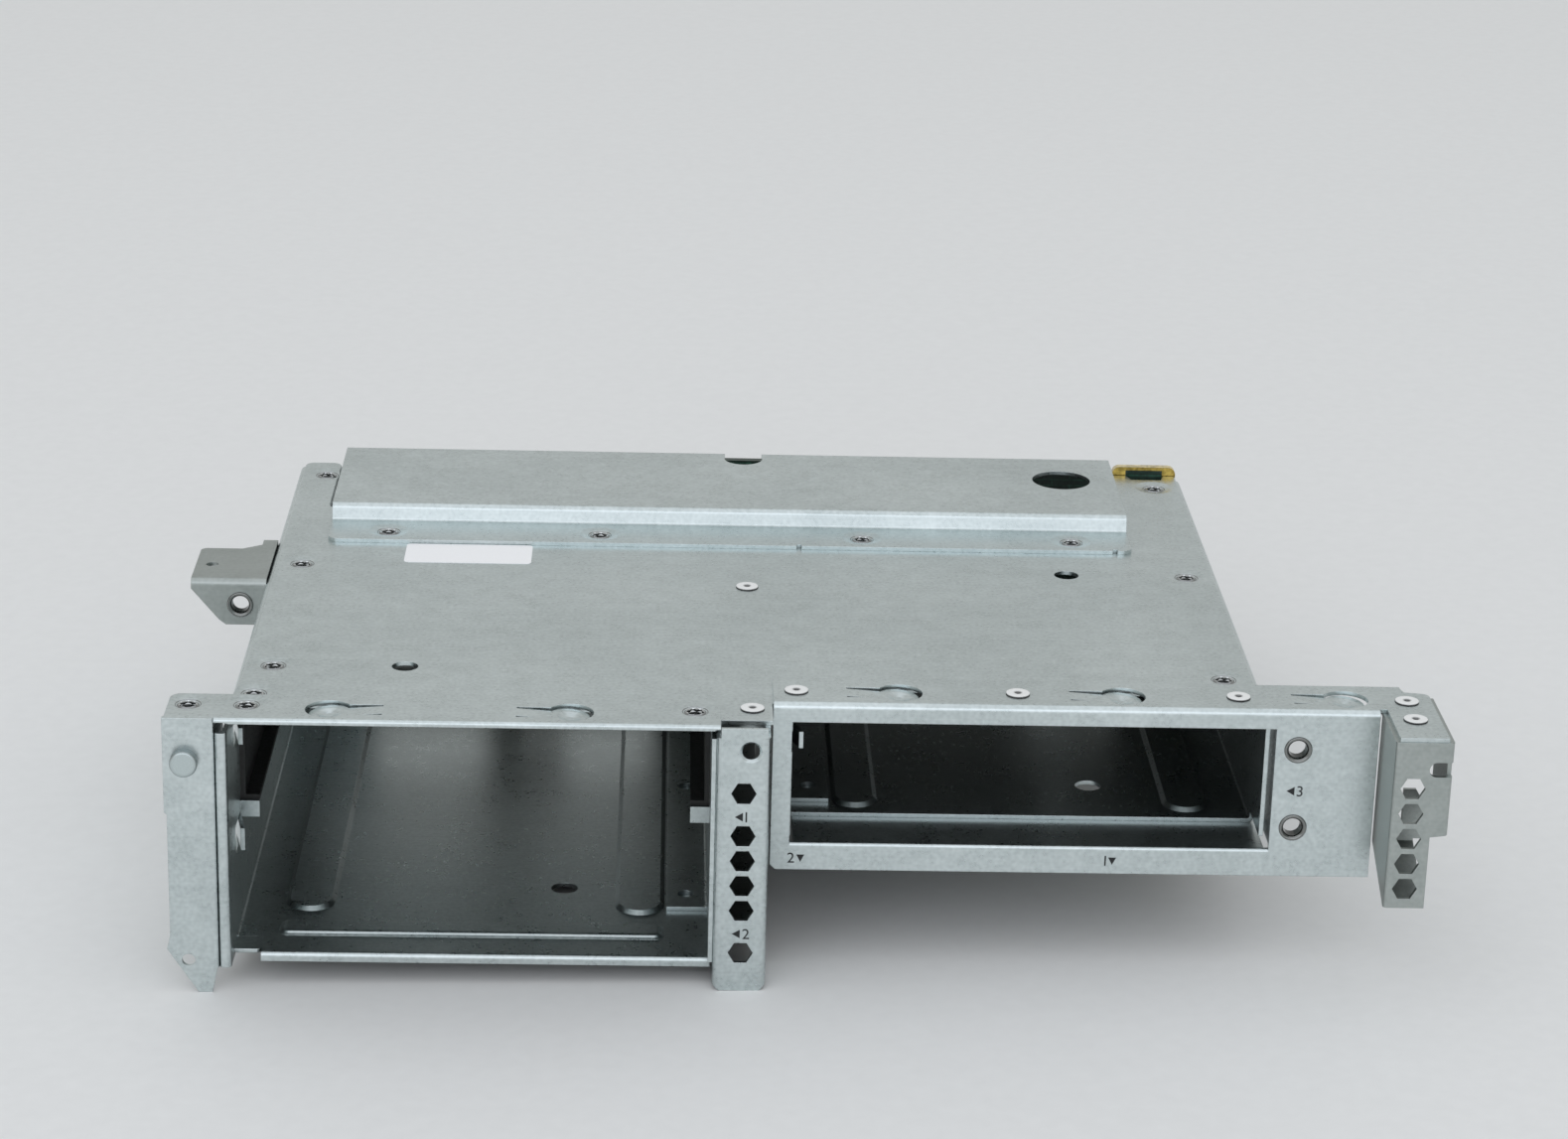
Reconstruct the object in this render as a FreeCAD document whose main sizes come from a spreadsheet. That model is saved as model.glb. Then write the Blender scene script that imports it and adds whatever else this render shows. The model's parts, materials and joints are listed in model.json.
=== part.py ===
import FreeCAD, Part
import math
import os
import re
import Sketcher

# Work axes: X runs right from the outer face of the left wall, Y runs back from the front
# plane and Z runs up from the surface the cage stands on. Every finished piece is then moved
# so that the origin lies under the middle of the whole cage. All lengths are millimetres.

doc = FreeCAD.newDocument("drive_cage")
dims = doc.addObject("Spreadsheet::Sheet", "dims")

# Driving sizes of the cage, each with what it is
SIZES = {
    # Sheet and the main heights
    "sheet": 1.0,  # thickness of every folded sheet
    "bend": 0.6,  # inside radius of a fold
    "lid_top": 65.6,  # top of the lid above the standing surface
    "left_floor_drop": 57.2,  # top of the left floor below the top of the lid
    "right_floor_drop": 32.2,  # top of the right floor below the top of the lid
    # Bays and walls
    "bay_wide": 107.5,  # clear width of a bay
    "channel_gap": 16.4,  # clear width inside the centre channel
    "ledge_wide": 12.0,  # width of the ledges that carry the lid
    "board_front": 188.0,  # front face of the backplane board
    "tray_fold_front": 12.0,  # front end of the left tray's long folds
    "hem_long": 10.0,  # length of the hem on the left wall
    "hem_gap": 0.8,  # gap inside the hem
    "hem_low": 6.1,  # bottom of the hem above the standing surface
    "floor_front": 3.5,  # front edge of the left floor
    "floor_lip": 2.2,  # height of the rolled front lip of the left floor
    "floor_relief": 6.2,  # corner relief between the left wall and the floor
    "floor_tail_front": 15.2,  # front of the floor part behind the pillar
    "right_floor_front": 30.0,  # front edge of the right floor
    "right_wall_front": 16.2,  # front edge of the walls behind the right frame
    "back_flange": 19.0,  # width of the flanges that carry the board
    "back_flange_low": 6.0,  # gap under a board flange above its floor
    "back_flange_top": 3.0,  # gap over a board flange below the ledges
    # Ribs and floor holes
    "rib_high": 1.0,  # height of the raised ribs
    "rib_slope": 45.0,  # side slope of the ribs in degrees
    "rib_wide": 11.6,  # width of the left floor's long ribs
    "rib_inset": 9.3,  # left rib from the left wall's inner face
    "rib_foot_gap": 0.5,  # gap between the left floor's right rib and the channel's foot
    "rib_front": 26.0,  # front end of the left floor's ribs
    "rib_back": 165.0,  # back end of the ribs
    "cross_rib_front": 12.6,  # front side of the cross rib
    "cross_rib_wide": 8.2,  # width of the cross rib
    "cross_rib_high": 0.6,  # height of the cross rib
    "cross_rib_slope": 65.0,  # side slope of the cross rib in degrees from upright
    "cross_rib_round": 2.2,  # corner radius of the cross rib
    "right_rib_wide": 10.6,  # width of the right floor's ribs
    "right_rib_front": 33.0,  # front end of the right floor's ribs
    "right_rib_inset": 9.0,  # right floor's right rib from the right wall's inner face
    "right_rib_foot_gap": 0.8,  # gap between the right floor's left rib and the channel's foot
    "floor_hole": 6.2,  # diameter of the plain floor holes
    "floor_hole_inset": 73.9,  # left floor hole from the left wall's inner face
    "floor_hole_back": 41.0,  # left floor hole from the front plane
    "right_hole_inset": 71.5,  # right floor hole from the bay's left side
    "right_hole_back": 48.5,  # right floor hole from the front plane
    # Feet of the centre channel
    "foot_wide": 9.5,  # width of the channel's feet
    "left_foot_front": 29.0,  # front end of the left foot
    "right_foot_front": 36.0,  # front end of the right foot
    "foot_back_gap": 3.0,  # gap between the feet and the board flanges
    "foot_hole": 3.8,  # diameter of the holes in the feet
    "foot_hole_inset": 5.0,  # foot holes from the channel wall
    "foot_hole_first": 36.5,  # first foot hole from the front plane
    "foot_hole_pitch": 65.5,  # distance between the left foot's holes
    "right_foot_hole": 44.0,  # right foot hole from the front plane
    "channel_front": 1.2,  # front edge of the channel's left wall
    "web_front": 25.5,  # front edge of the channel's web
    # Lanced guide tabs on the walls
    "guide_root": 24.0,  # root of the lanced guide tabs
    "guide_long": 9.6,  # length of the lanced guide tabs
    "guide_lean": 2.0,  # how far a guide tab leans into the bay
    "guide_slot": 0.5,  # clearance round a guide tab
    "upper_guide_drop": 7.0,  # top of the upper guide tab below the lid's top
    "upper_guide_high": 4.0,  # height of the upper guide tab
    "lower_guide_drop": 31.5,  # top of the lower guide tab below the lid's top
    "lower_guide_high": 5.4,  # height of the lower guide tab
    # Rails
    "rail_drop": 27.5,  # top of the rail ledges below the top of the lid
    "rail_ledge": 4.4,  # width of a rail's ledge
    "rail_thick": 1.2,  # thickness of the rails
    "rail_high": 18.0,  # height of a rail's upright side
    "rail_front": 25.0,  # front end of the rails
    "rail_back": 170.0,  # back end of the rails
    "rail_stop_high": 4.0,  # height of the bent tab under a rail's front end
    # Lid
    "lid_inset": 1.4,  # lid edge inside the walls' outer faces
    "lid_flare": 0.9,  # how far the front left edge of the lid flares out
    "flare_front": 17.8,  # front end of the flared edge's slope
    "flare_back": 28.7,  # back end of the flared edge
    "lid_front": 2.0,  # front edge of the lid under the front strip
    "lid_centre_front": 6.0,  # front edge of the lid behind the pillar
    "lid_right_front": 16.6,  # front edge of the lid behind the right frame
    "lid_back_gap": 0.3,  # gap between the lid and the board
    "lid_roll": 0.5,  # rounding of the lid's side edges
    "cut_front": 150.0,  # front side of the lid's rear cut-out
    "left_tab": 9.6,  # width of the lid's tab at the back left
    "right_tab": 17.4,  # width of the lid's tab at the back right
    "tab_round": 2.4,  # corner radius of the lid's back tabs
    "notch_wide": 10.0,  # width of the notch in the back right tab
    "notch_deep": 3.4,  # depth of the notch in the back right tab
    "notch_taper": 1.0,  # taper of the notch on each side
    "notch_inset": 8.2,  # middle of the notch from the lid's right edge
    "lid_hole": 6.1,  # diameter of the lid's plain holes
    "lid_hole_first_x": 38.0,  # first plain hole from the left wall
    "lid_hole_first_y": 36.7,  # first plain hole from the front plane
    "lid_hole_second_x": 38.2,  # second plain hole from the right wall
    "lid_hole_second_y": 106.8,  # second plain hole from the front plane
    # Countersunk seats and their screws
    "dimple_round": 10.0,  # outer diameter of a screw's dimple
    "dimple_deep": 0.32,  # depth of a screw's dimple
    "head_round": 6.2,  # diameter of a screw head's seat
    "head_clear": 0.12,  # clearance round a screw head and its shank
    "shank_round": 3.0,  # diameter of the screw shanks
    "shank_long": 1.4,  # length of the screw shanks below the head
    "screw_inset": 7.8,  # left lid screws from the left wall
    "right_screw_inset": 8.2,  # right lid screws from the right wall
    "screw_first": 36.8,  # first lid screw from the front plane
    "screw_last": 9.9,  # last lid screw from the lid's back edge
    "corner_screw_x": 5.2,  # front corner lid screw from the left wall
    "corner_screw_y": 19.1,  # front corner lid screw from the front plane
    # Rear cover
    "cover_front": 122.8,  # front edge of the cover's flange
    "cover_wide": 202.9,  # width of the cover
    "cover_offset": 3.65,  # cover's middle left of the lid's middle
    "cover_flange": 14.8,  # depth of the cover's flange to its fold
    "cover_rise": 4.1,  # rise of the cover's raised part
    "cover_lean": 1.1,  # how far the rising part leans back
    "cover_back_gap": 3.0,  # gap between the cover's back edge and the board
    "cover_round": 3.0,  # radius of the cover's front corners
    "cover_screw_back": 7.0,  # cover screws from the flange's front edge
    "cover_screw_inner": 33.2,  # inner cover screws from the cover's middle
    "cover_screw_outer": 86.5,  # outer cover screws from the cover's middle
    "cover_hole": 15.2,  # diameter of the cover's round hole
    "cover_hole_inset": 14.3,  # round hole from the cover's right end
    "cover_hole_back": 17.8,  # round hole from the cover's back edge
    "cover_bite": 10.0,  # diameter of the half-round bite in the cover's back edge
    "cover_bite_offset": 3.75,  # bite right of the cover's middle
    "cover_bite_back": 4.0,  # middle of the bite from the cover's back edge
    "cover_nick": 1.2,  # width of the nicks in the cover's front edge
    "cover_nick_inner": 17.1,  # inner nick right of the cover's middle
    "cover_nick_outer": 97.0,  # outer nick right of the cover's middle
    # Front strip
    "strip_left": 12.8,  # left end of the front strip outside the left wall
    "strip_right": 0.9,  # right end of the strip past the channel's left wall
    "strip_deep": 12.5,  # back edge of the front strip
    "strip_pad_deep": 15.0,  # back edge of the strip's left pad
    "strip_pad_wide": 9.0,  # right end of the strip's left pad
    "strip_step": 0.8,  # slope of the step at the pad
    "strip_round": 2.5,  # corner radius of the strip's left end
    "strip_cut": 1.4,  # width of the cut corner at the strip's right end
    "strip_cut_long": 2.8,  # length of the cut corner at the strip's right end
    "strip_lip": 0.3,  # strip's front lip below its underside
    "strip_lip_inset": 1.3,  # ends of the lip from the left wall and the channel
    "strip_screw_back": 9.5,  # strip screws from the front plane
    "strip_screw_left": 8.4,  # outer strip screw outside the left wall
    "strip_screw_inner": 4.6,  # inner strip screw from the left wall
    "strip_screw_right": 3.8,  # right strip screw from the channel
    # Lanced spring fingers
    "finger_head": 4.5,  # radius of a finger's round head
    "finger_arm": 4.4,  # width of a finger's arm
    "finger_long": 12.0,  # length of a finger from root to head centre
    "finger_slot": 0.8,  # slot round a finger
    "finger_dip": 4.2,  # downward lean of a finger in degrees
    "finger_dimple": 5.7,  # diameter of the finger's contact dimple
    "finger_pit": 2.0,  # diameter of the dimple's flat bottom
    "finger_dimple_deep": 0.6,  # depth of the contact dimple
    "finger_room": 1.5,  # room cut in the lid round a finger's slot
    "strip_finger_back": 6.8,  # strip fingers from the front plane
    "strip_finger_left": 23.1,  # left finger's head from the left wall
    "strip_finger_right": 31.7,  # right finger's head from the channel
    "frame_finger_back": 7.4,  # frame fingers behind the frame's face
    "frame_finger_first": 28.7,  # first frame finger from the frame's left edge
    "frame_finger_last": 7.1,  # last frame finger from the frame's right edge
    # Left front flange
    "face_wide": 11.4,  # width of the left front flange
    "face_deep": 14.0,  # depth of the flange's side leg
    "face_step": 0.6,  # step in the flange's left edge
    "face_step_drop": 21.6,  # step below the lid's top
    "tip_high": 14.1,  # height where the tip of the flange starts
    "tip_flare": 0.8,  # flare of the tip
    "tip_flare_high": 10.6,  # height of the flare
    "tip_left": 4.7,  # left end of the tip's bottom from the side leg
    "tip_wide": 3.1,  # width of the tip's bottom
    "leg_high": 6.0,  # bottom of the side leg above the standing surface
    "face_tab": 9.0,  # width of the flange's top tab
    "face_tab_front": 2.0,  # front edge of the flange's top tab
    "stud_round": 6.2,  # diameter of the guide stud
    "stud_long": 2.5,  # how far the guide stud stands out
    "stud_shank": 4.0,  # diameter of the stud's pressed shank
    "stud_inset": 6.6,  # guide stud from the flange's side leg
    "stud_drop": 9.2,  # guide stud below the lid's top
    "tip_hole": 3.0,  # diameter of the hole in the tip
    "tip_hole_inset": 6.8,  # tip hole from the side leg
    "tip_hole_high": 7.9,  # tip hole above the standing surface
    # Centre pillar
    "pillar_wide": 12.1,  # width of the centre pillar
    "pillar_low": 2.0,  # bottom of the pillar above the standing surface
    "pillar_over": 0.3,  # top of the pillar above the lid
    "pillar_deep": 14.5,  # depth of the pillar's legs
    "pillar_chamfer": 1.4,  # cut corners at the pillar's bottom
    "pillar_tab_front": 6.6,  # front edge of the pillar's top tab
    "pillar_tab_back": 22.0,  # back edge of the pillar's top tab
    "pillar_hole": 3.9,  # diameter of the pillar's round hole
    "pillar_ring": 5.0,  # outer diameter of the round hole's countersink
    "pillar_hole_inset": 7.7,  # round hole from the pillar's left side
    "pillar_hole_drop": 5.2,  # round hole below the lid's top
    "hex_wide": 4.9,  # width across the flats of a hexagon
    "hex_inset": 6.3,  # hexagons from the pillar's left side
    "hex_upper_drop": 15.2,  # highest hexagon below the lid's top
    "hex_lower_drop": 54.2,  # lowest hexagon below the lid's top
    "hex_group_drop": 25.5,  # first of the four close hexagons below the lid's top
    "hex_pitch": 6.1,  # distance between close hexagons
    # Right front frame
    "frame_front": 14.5,  # front face of the right frame
    "frame_left_lap": 3.5,  # frame's left edge left of the channel's right wall
    "frame_wide": 137.6,  # width of the frame's face
    "frame_low_drop": 39.8,  # bottom of the frame below the lid's top
    "frame_deep": 15.8,  # depth of the frame's top flange
    "frame_chamfer": 1.2,  # cut corner at the frame's bottom left
    "opening_left": 0.2,  # opening's left side outside the bay's left side
    "opening_wide": 109.9,  # width of the frame's opening
    "opening_drop": 3.6,  # top of the opening below the lid's top
    "sill_deep": 27.5,  # depth of the sill folded back under the right floor
    "sill_inset": 1.0,  # ends of the sill inside the opening
    "jamb_deep": 12.0,  # depth of the jamb folded back at the opening's right side
    "frame_tail": 6.8,  # top flange past the frame's right edge
    "frame_tail_front": 1.7,  # front of that part behind the frame's face
    "tongue_left": 0.9,  # tongue's left side from the end bracket's left side
    "tongue_right": 1.2,  # tongue's right side inside the end bracket
    "tongue_front": 0.3,  # tongue's front edge behind the end bracket's face
    "tongue_back": 26.0,  # back edge of the tongue
    "tongue_round": 2.0,  # corner radius of the tongue
    "frame_rivet_first": 5.3,  # first frame rivet from the frame's left edge
    "frame_rivet_last": 31.4,  # last frame rivet from the frame's right edge
    "frame_rivet_back": 7.8,  # frame rivets behind the frame's face
    "bush_inset": 5.2,  # bushings from the opening's right side
    "bush_upper_drop": 8.6,  # upper bushing below the lid's top
    "bush_pitch": 19.1,  # distance between the frame's bushings
    # Bushings and rivets
    "bush_flange": 6.4,  # outer diameter of a bushing
    "bush_body": 5.2,  # diameter of a bushing's pressed body
    "bush_bore": 4.1,  # bore of a bushing
    "bush_proud": 0.4,  # how far a bushing stands out
    "bush_tail": 2.0,  # length of a bushing behind its sheet
    "rivet_head": 5.5,  # diameter of a rivet head
    "rivet_high": 0.5,  # height of a rivet head
    "rivet_shank": 3.0,  # diameter of a rivet's shank
    "rivet_tail": 4.4,  # diameter of a rivet's formed tail
    "plate_rivet_x": 8.1,  # lid rivets from the channel's left wall
    "plate_rivet_front": 13.3,  # front lid rivet from the front plane
    "plate_rivet_back": 94.3,  # back lid rivet from the front plane
    # Right end bracket
    "end_gap": 0.8,  # gap between the frame and the end bracket
    "end_wide": 13.2,  # width of the end bracket
    "end_front": 1.5,  # end bracket's face in front of the front plane
    "end_low_drop": 40.2,  # bottom of the end bracket below the lid's top
    "end_step_drop": 22.3,  # step in the bracket's right side below the lid's top
    "end_step": 4.0,  # width of the step
    "end_left_deep": 18.5,  # depth of the bracket's left side
    "end_right_deep": 16.5,  # depth of the bracket's right side
    "end_taper": 8.6,  # rise of the left side's bottom edge
    "end_tab_left": 6.2,  # left edge of the bracket's inner tab from its left side
    "end_tab_wide": 6.2,  # width of the bracket's inner tab
    "end_tab_drop": 18.5,  # top of the inner tab below the lid's top
    "end_tab_cut": 5.6,  # height of the inner tab's cut corner
    "end_tab_cut_wide": 3.36,  # width of the inner tab's cut corner
    "end_slot_drop": 4.75,  # top of the bracket's slot below the lid's top
    "end_slot_high": 3.5,  # height of the bracket's slot
    "end_slot_long": 5.3,  # length of the bracket's slot
    "end_slot_deep": 2.0,  # how far the bracket's slot runs into its right side
    "end_hex_inset": 4.5,  # hexagons from the bracket's left side
    "end_hex_drop": 11.1,  # first hexagon below the lid's top
    "end_rivet_inset": 6.2,  # bracket rivets from its left side
    "end_rivet_front": 9.9,  # front bracket rivet from the front plane
    "end_rivet_pitch": 11.2,  # distance between the bracket's rivets
    # Ear bracket
    "ear_reach": 18.4,  # ear's left edge outside the left wall
    "ear_front": 96.6,  # front face of the ear
    "ear_deep": 23.1,  # depth of the ear's tab
    "ear_tail": 29.9,  # depth of the ear's side leg
    "ear_tail_wide": 3.6,  # width of the tab's tail along the wall
    "ear_notch": 8.2,  # start of the tab's curve outside the wall
    "ear_round": 1.6,  # corner radius of the ear's tab
    "ear_high": 11.7,  # height of the ear's face
    "ear_edge_high": 2.5,  # height of the face's left edge
    "ear_slope_end": 11.8,  # lower end of the face's slope outside the wall
    "ear_slope_low": 1.3,  # slope's lower end above the face's bottom
    "ear_blunt": 1.7,  # blunted corner at the face's bottom
    "ear_bush_out": 6.5,  # ear bushing outside the wall
    "ear_bush_drop": 7.5,  # ear bushing below the lid's top
    "ear_hole": 3.0,  # diameter of the small hole in the ear's tab
    "ear_hole_out": 14.4,  # small hole outside the wall
    "ear_hole_back": 11.1,  # small hole behind the ear's face
    # Backplane board and its fittings
    "board_thick": 2.2,  # thickness of the board
    "board_left": 12.3,  # board's left edge from the left wall's inner face
    "board_right": 1.3,  # board's right edge inside the right wall's outer face
    "board_over": 2.3,  # top of the board above the lid's top
    "board_tab": 17.0,  # width of the board's right tab
    "board_gap": 4.2,  # width of the gap beside the right tab
    "board_gap_drop": 2.6,  # bottom of that gap below the lid's top
    "board_round": 2.0,  # radius of the board's top corners
    "board_low": 1.2,  # bottom of the board above the left floor
    "board_right_low": 2.2,  # bottom of the board's right part above the right floor
    "vent_wide": 36.0,  # width of the board's air slots
    "vent_high": 6.0,  # height of the upper left bay's air slots
    "lower_vent_high": 16.0,  # height of the lower left bay's air slots
    "vent_off": 22.0,  # middle of an air slot from the middle of its bay
    "socket_wide": 42.5,  # width of a drive socket
    "socket_high": 7.0,  # height of a drive socket
    "socket_deep": 8.0,  # depth of a drive socket
    "socket_rise": 8.0,  # underside of a drive socket above its bay's floor
    "socket_mouth": 4.0,  # depth of the socket's mouth
    "socket_rim": 1.4,  # wall of the socket round its mouth
    "vent_rise": 4.0,  # air slot above its socket
    "plug_deep": 9.8,  # depth of the cable sockets on the board's back
    "data_wide": 22.0,  # width of the data socket
    "data_high": 8.0,  # height of the data socket
    "data_inset": 60.0,  # data socket from the left wall
    "data_drop": 22.0,  # top of the data socket below the lid's top
    "power_wide": 24.0,  # width of the power socket
    "power_high": 10.0,  # height of the power socket
    "power_inset": 150.0,  # power socket from the left wall
    "power_drop": 8.0,  # top of the power socket below the lid's top
    "plug_rim": 1.2,  # wall of a cable socket round its mouth
    "plug_mouth": 6.0,  # depth of a cable socket's mouth
    "board_screw_head": 5.4,  # diameter of a board screw's head
    "board_screw_high": 1.8,  # height of a board screw's head
    "board_screw_inset": 5.0,  # left board screws from the board's left edge
    "board_screw_centre": 8.0,  # centre board screws from the channel's left wall
    "board_screw_right": 9.2,  # right board screws from the board's right edge
    "board_screw_drop": 11.0,  # upper board screws below the lid's top
    "board_screw_low": 36.0,  # lower board screws below the upper ones at the left
    "board_screw_low_right": 13.0,  # lower board screw below the upper one at the right
    # Label
    "label_inset": 20.1,  # label's left side from the cover's left side
    "label_wide": 31.5,  # width of the label
    "label_gap": 0.4,  # gap between the label and the cover's flange
    "label_round": 1.2,  # corner radius of the label
    "label_deep": 13.8,  # depth of the label
    "label_thick": 0.1,  # thickness of the label
}
for row, (alias, value) in enumerate(SIZES.items(), 1):
    dims.set(f"A{row}", alias)
    dims.set(f"B{row}", str(value))
    dims.setAlias(f"B{row}", alias)
doc.recompute()


def ex(text):
    """An expression with every size name pointed at the sheet."""
    return re.sub(r"[a-z]\w*", lambda m: "dims." + m.group() if m.group() in SIZES else m.group(), text)


def number(text):
    """The present value of an expression, as the document works it out."""
    return float(dims.evalExpression(ex(text)))


# Shared places
LID = "lid_top"
LID_LOW = "(lid_top - sheet)"
LEDGE_LOW = "(lid_top - 2 * sheet)"
OVER = "(lid_top + sheet)"
LEFT_FLOOR = "(lid_top - left_floor_drop)"
RIGHT_FLOOR = "(lid_top - right_floor_drop)"
LEFT_IN = "sheet"
CHAN_IN = "(sheet + bay_wide)"
CHAN_OUT = "(2 * sheet + bay_wide)"
CHAN_FAR = "(2 * sheet + bay_wide + channel_gap)"
RIGHT_IN = "(3 * sheet + bay_wide + channel_gap)"
WALL_R_IN = "(3 * sheet + 2 * bay_wide + channel_gap)"
WALL_R = "(4 * sheet + 2 * bay_wide + channel_gap)"
PILLAR_R = f"({CHAN_OUT} + pillar_wide)"
RIB_END = f"({CHAN_IN} - foot_wide - rib_foot_gap)"
TRAY_BACK = "(board_front - sheet)"
FRAME_L = f"({CHAN_FAR} - frame_left_lap)"
FRAME_R = f"({FRAME_L} + frame_wide)"
FRAME_LOW = "(lid_top - frame_low_drop)"
OPEN_L = f"({RIGHT_IN} - opening_left)"
OPEN_R = f"({OPEN_L} + opening_wide)"
OPEN_TOP = "(lid_top - opening_drop)"
SILL = f"({RIGHT_FLOOR} - sheet)"
END_L = f"({FRAME_R} + end_gap)"
END_R = f"({END_L} + end_wide)"
HEM_OUT = "(0 - sheet - hem_gap)"
LEG_OUT = f"({HEM_OUT} - sheet)"
RAIL_TOP = "(lid_top - rail_drop)"
LID_L = "lid_inset"
LID_R = f"({WALL_R} - lid_inset)"
LID_BACK = "(board_front - lid_back_gap)"
COVER_MID = f"({WALL_R} / 2 - cover_offset)"
COVER_L = f"({COVER_MID} - cover_wide / 2)"
COVER_R = f"({COVER_MID} + cover_wide / 2)"
COVER_BACK = "(board_front - cover_back_gap)"
BOARD_L = f"({LEFT_IN} + board_left)"
BOARD_R = f"({WALL_R} - board_right)"
BOARD_BACK = "(board_front + board_thick)"
FLANGE_MID = f"({LEFT_FLOOR} + back_flange_low + {LEDGE_LOW} - back_flange_top) / 2"
FLANGE_MID_R = f"({RIGHT_FLOOR} + back_flange_low + {LEDGE_LOW} - back_flange_top) / 2"
SHIFT_X = f"0 - ({END_R} - ear_reach) / 2"
SHIFT_Y = f"0 - ({BOARD_BACK} + plug_deep - max(stud_long; end_front)) / 2"

nodes = {}


def finish(thing, label):
    """Name a finished piece and move it into the shared frame."""
    thing.Label = label
    thing.setExpression("Placement.Base.x", ex(SHIFT_X))
    thing.setExpression("Placement.Base.y", ex(SHIFT_Y))
    nodes[label] = thing
    return thing


def body(name):
    return doc.addObject("PartDesign::Body", name)


def pin(flat, kind, geo, point, text):
    spot = flat.addConstraint(Sketcher.Constraint(kind, -1, 1, geo, point, number(text)))
    flat.setExpression(f"Constraints[{spot}]", ex(text))


def outline(*corners):
    """A closed outline of straight sides; each corner is a pair of expressions."""
    def draw(flat):
        first = flat.GeometryCount
        count = len(corners)
        spots = [FreeCAD.Vector(number(u), number(v), 0) for u, v in corners]
        for i in range(count):
            flat.addGeometry(Part.LineSegment(spots[i], spots[(i + 1) % count]))
        for i in range(count):
            flat.addConstraint(Sketcher.Constraint("Coincident", first + i, 2, first + (i + 1) % count, 1))
        for i, (u, v) in enumerate(corners):
            pin(flat, "DistanceX", first + i, 1, u)
            pin(flat, "DistanceY", first + i, 1, v)
    return draw


def rect(u0, u1, v0, v1):
    return outline((u0, v0), (u1, v0), (u1, v1), (u0, v1))


def ring(u, v, across):
    """A circle from its centre and diameter."""
    def draw(flat):
        middle = FreeCAD.Vector(number(u), number(v), 0)
        geo = flat.addGeometry(Part.Circle(middle, FreeCAD.Vector(0, 0, 1), number(across) / 2))
        pin(flat, "DistanceX", geo, 3, u)
        pin(flat, "DistanceY", geo, 3, v)
        spot = flat.addConstraint(Sketcher.Constraint("Diameter", geo, number(across)))
        flat.setExpression(f"Constraints[{spot}]", ex(across))
    return draw


def hexagon(u, v, flats):
    """A hexagon with two flat sides lying level."""
    arm = f"({flats}) / sqrt(3)"
    half = f"({flats}) / 2"
    return outline(
        (f"{u} + {arm}", v), (f"{u} + {arm} / 2", f"{v} + {half}"), (f"{u} - {arm} / 2", f"{v} + {half}"),
        (f"{u} - {arm}", v), (f"{u} - {arm} / 2", f"{v} - {half}"), (f"{u} + {arm} / 2", f"{v} - {half}"))


def capsule(u, v0, v1, across):
    """A slot with round ends along the sketch's upright axis."""
    def draw(flat):
        first = flat.GeometryCount
        up = FreeCAD.Vector(0, 0, 1)
        radius = number(across) / 2
        low = FreeCAD.Vector(number(u), number(v0) + radius, 0)
        top = FreeCAD.Vector(number(u), number(v1) - radius, 0)
        out = FreeCAD.Vector(radius, 0, 0)
        flat.addGeometry(Part.ArcOfCircle(Part.Circle(top, up, radius), 0, math.pi))
        flat.addGeometry(Part.LineSegment(top - out, low - out))
        flat.addGeometry(Part.ArcOfCircle(Part.Circle(low, up, radius), math.pi, 2 * math.pi))
        flat.addGeometry(Part.LineSegment(low + out, top + out))
        for a, b in ((0, 1), (1, 2), (2, 3), (3, 0)):
            flat.addConstraint(Sketcher.Constraint("Tangent", first + a, 2, first + b, 1))
        flat.addConstraint(Sketcher.Constraint("Equal", first, first + 2))
        pin(flat, "DistanceX", first, 3, u)
        pin(flat, "DistanceY", first, 3, f"{v1} - ({across}) / 2")
        pin(flat, "DistanceX", first + 2, 3, u)
        pin(flat, "DistanceY", first + 2, 3, f"{v0} + ({across}) / 2")
        spot = flat.addConstraint(Sketcher.Constraint("Radius", first, radius))
        flat.setExpression(f"Constraints[{spot}]", ex(f"({across}) / 2"))
    return draw


def rounded(u0, u1, v0, v1, radius):
    """A rectangle with round corners."""
    def draw(flat):
        first = flat.GeometryCount
        up = FreeCAD.Vector(0, 0, 1)
        reach = number(radius)
        places = [(f"{u1} - {radius}", f"{v1} - {radius}"), (f"{u0} + {radius}", f"{v1} - {radius}"),
                  (f"{u0} + {radius}", f"{v0} + {radius}"), (f"{u1} - {radius}", f"{v0} + {radius}")]
        arcs = []
        for k, (u, v) in enumerate(places):
            middle = FreeCAD.Vector(number(u), number(v), 0)
            arcs.append(Part.ArcOfCircle(Part.Circle(middle, up, reach), k * math.pi / 2,
                (k + 1) * math.pi / 2))
        for k in range(4):
            flat.addGeometry(arcs[k])
            flat.addGeometry(Part.LineSegment(arcs[k].EndPoint, arcs[(k + 1) % 4].StartPoint))
        for k in range(8):
            flat.addConstraint(Sketcher.Constraint("Tangent", first + k, 2, first + (k + 1) % 8, 1))
        for k, (u, v) in enumerate(places):
            pin(flat, "DistanceX", first + 2 * k, 3, u)
            pin(flat, "DistanceY", first + 2 * k, 3, v)
            if k:
                flat.addConstraint(Sketcher.Constraint("Equal", first, first + 2 * k))
        spot = flat.addConstraint(Sketcher.Constraint("Radius", first, reach))
        flat.setExpression(f"Constraints[{spot}]", ex(radius))
    return draw


def sketch(part, plane, level, *shapes):
    """A sketch on one of the piece's own planes, at a level along that plane's axis."""
    flat = part.newObject("Sketcher::SketchObject", part.Name + "_sketch")
    base = next(f for f in part.Origin.OriginFeatures if f.Role == plane + "_Plane")
    flat.AttachmentSupport = [(base, "")]
    flat.MapMode = "FlatFace"
    lift = f"0 - ({level})" if plane == "XZ" else level
    flat.setExpression("AttachmentOffset.Base.z", ex(lift))
    for shape in shapes:
        shape(flat)
    return flat


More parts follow.
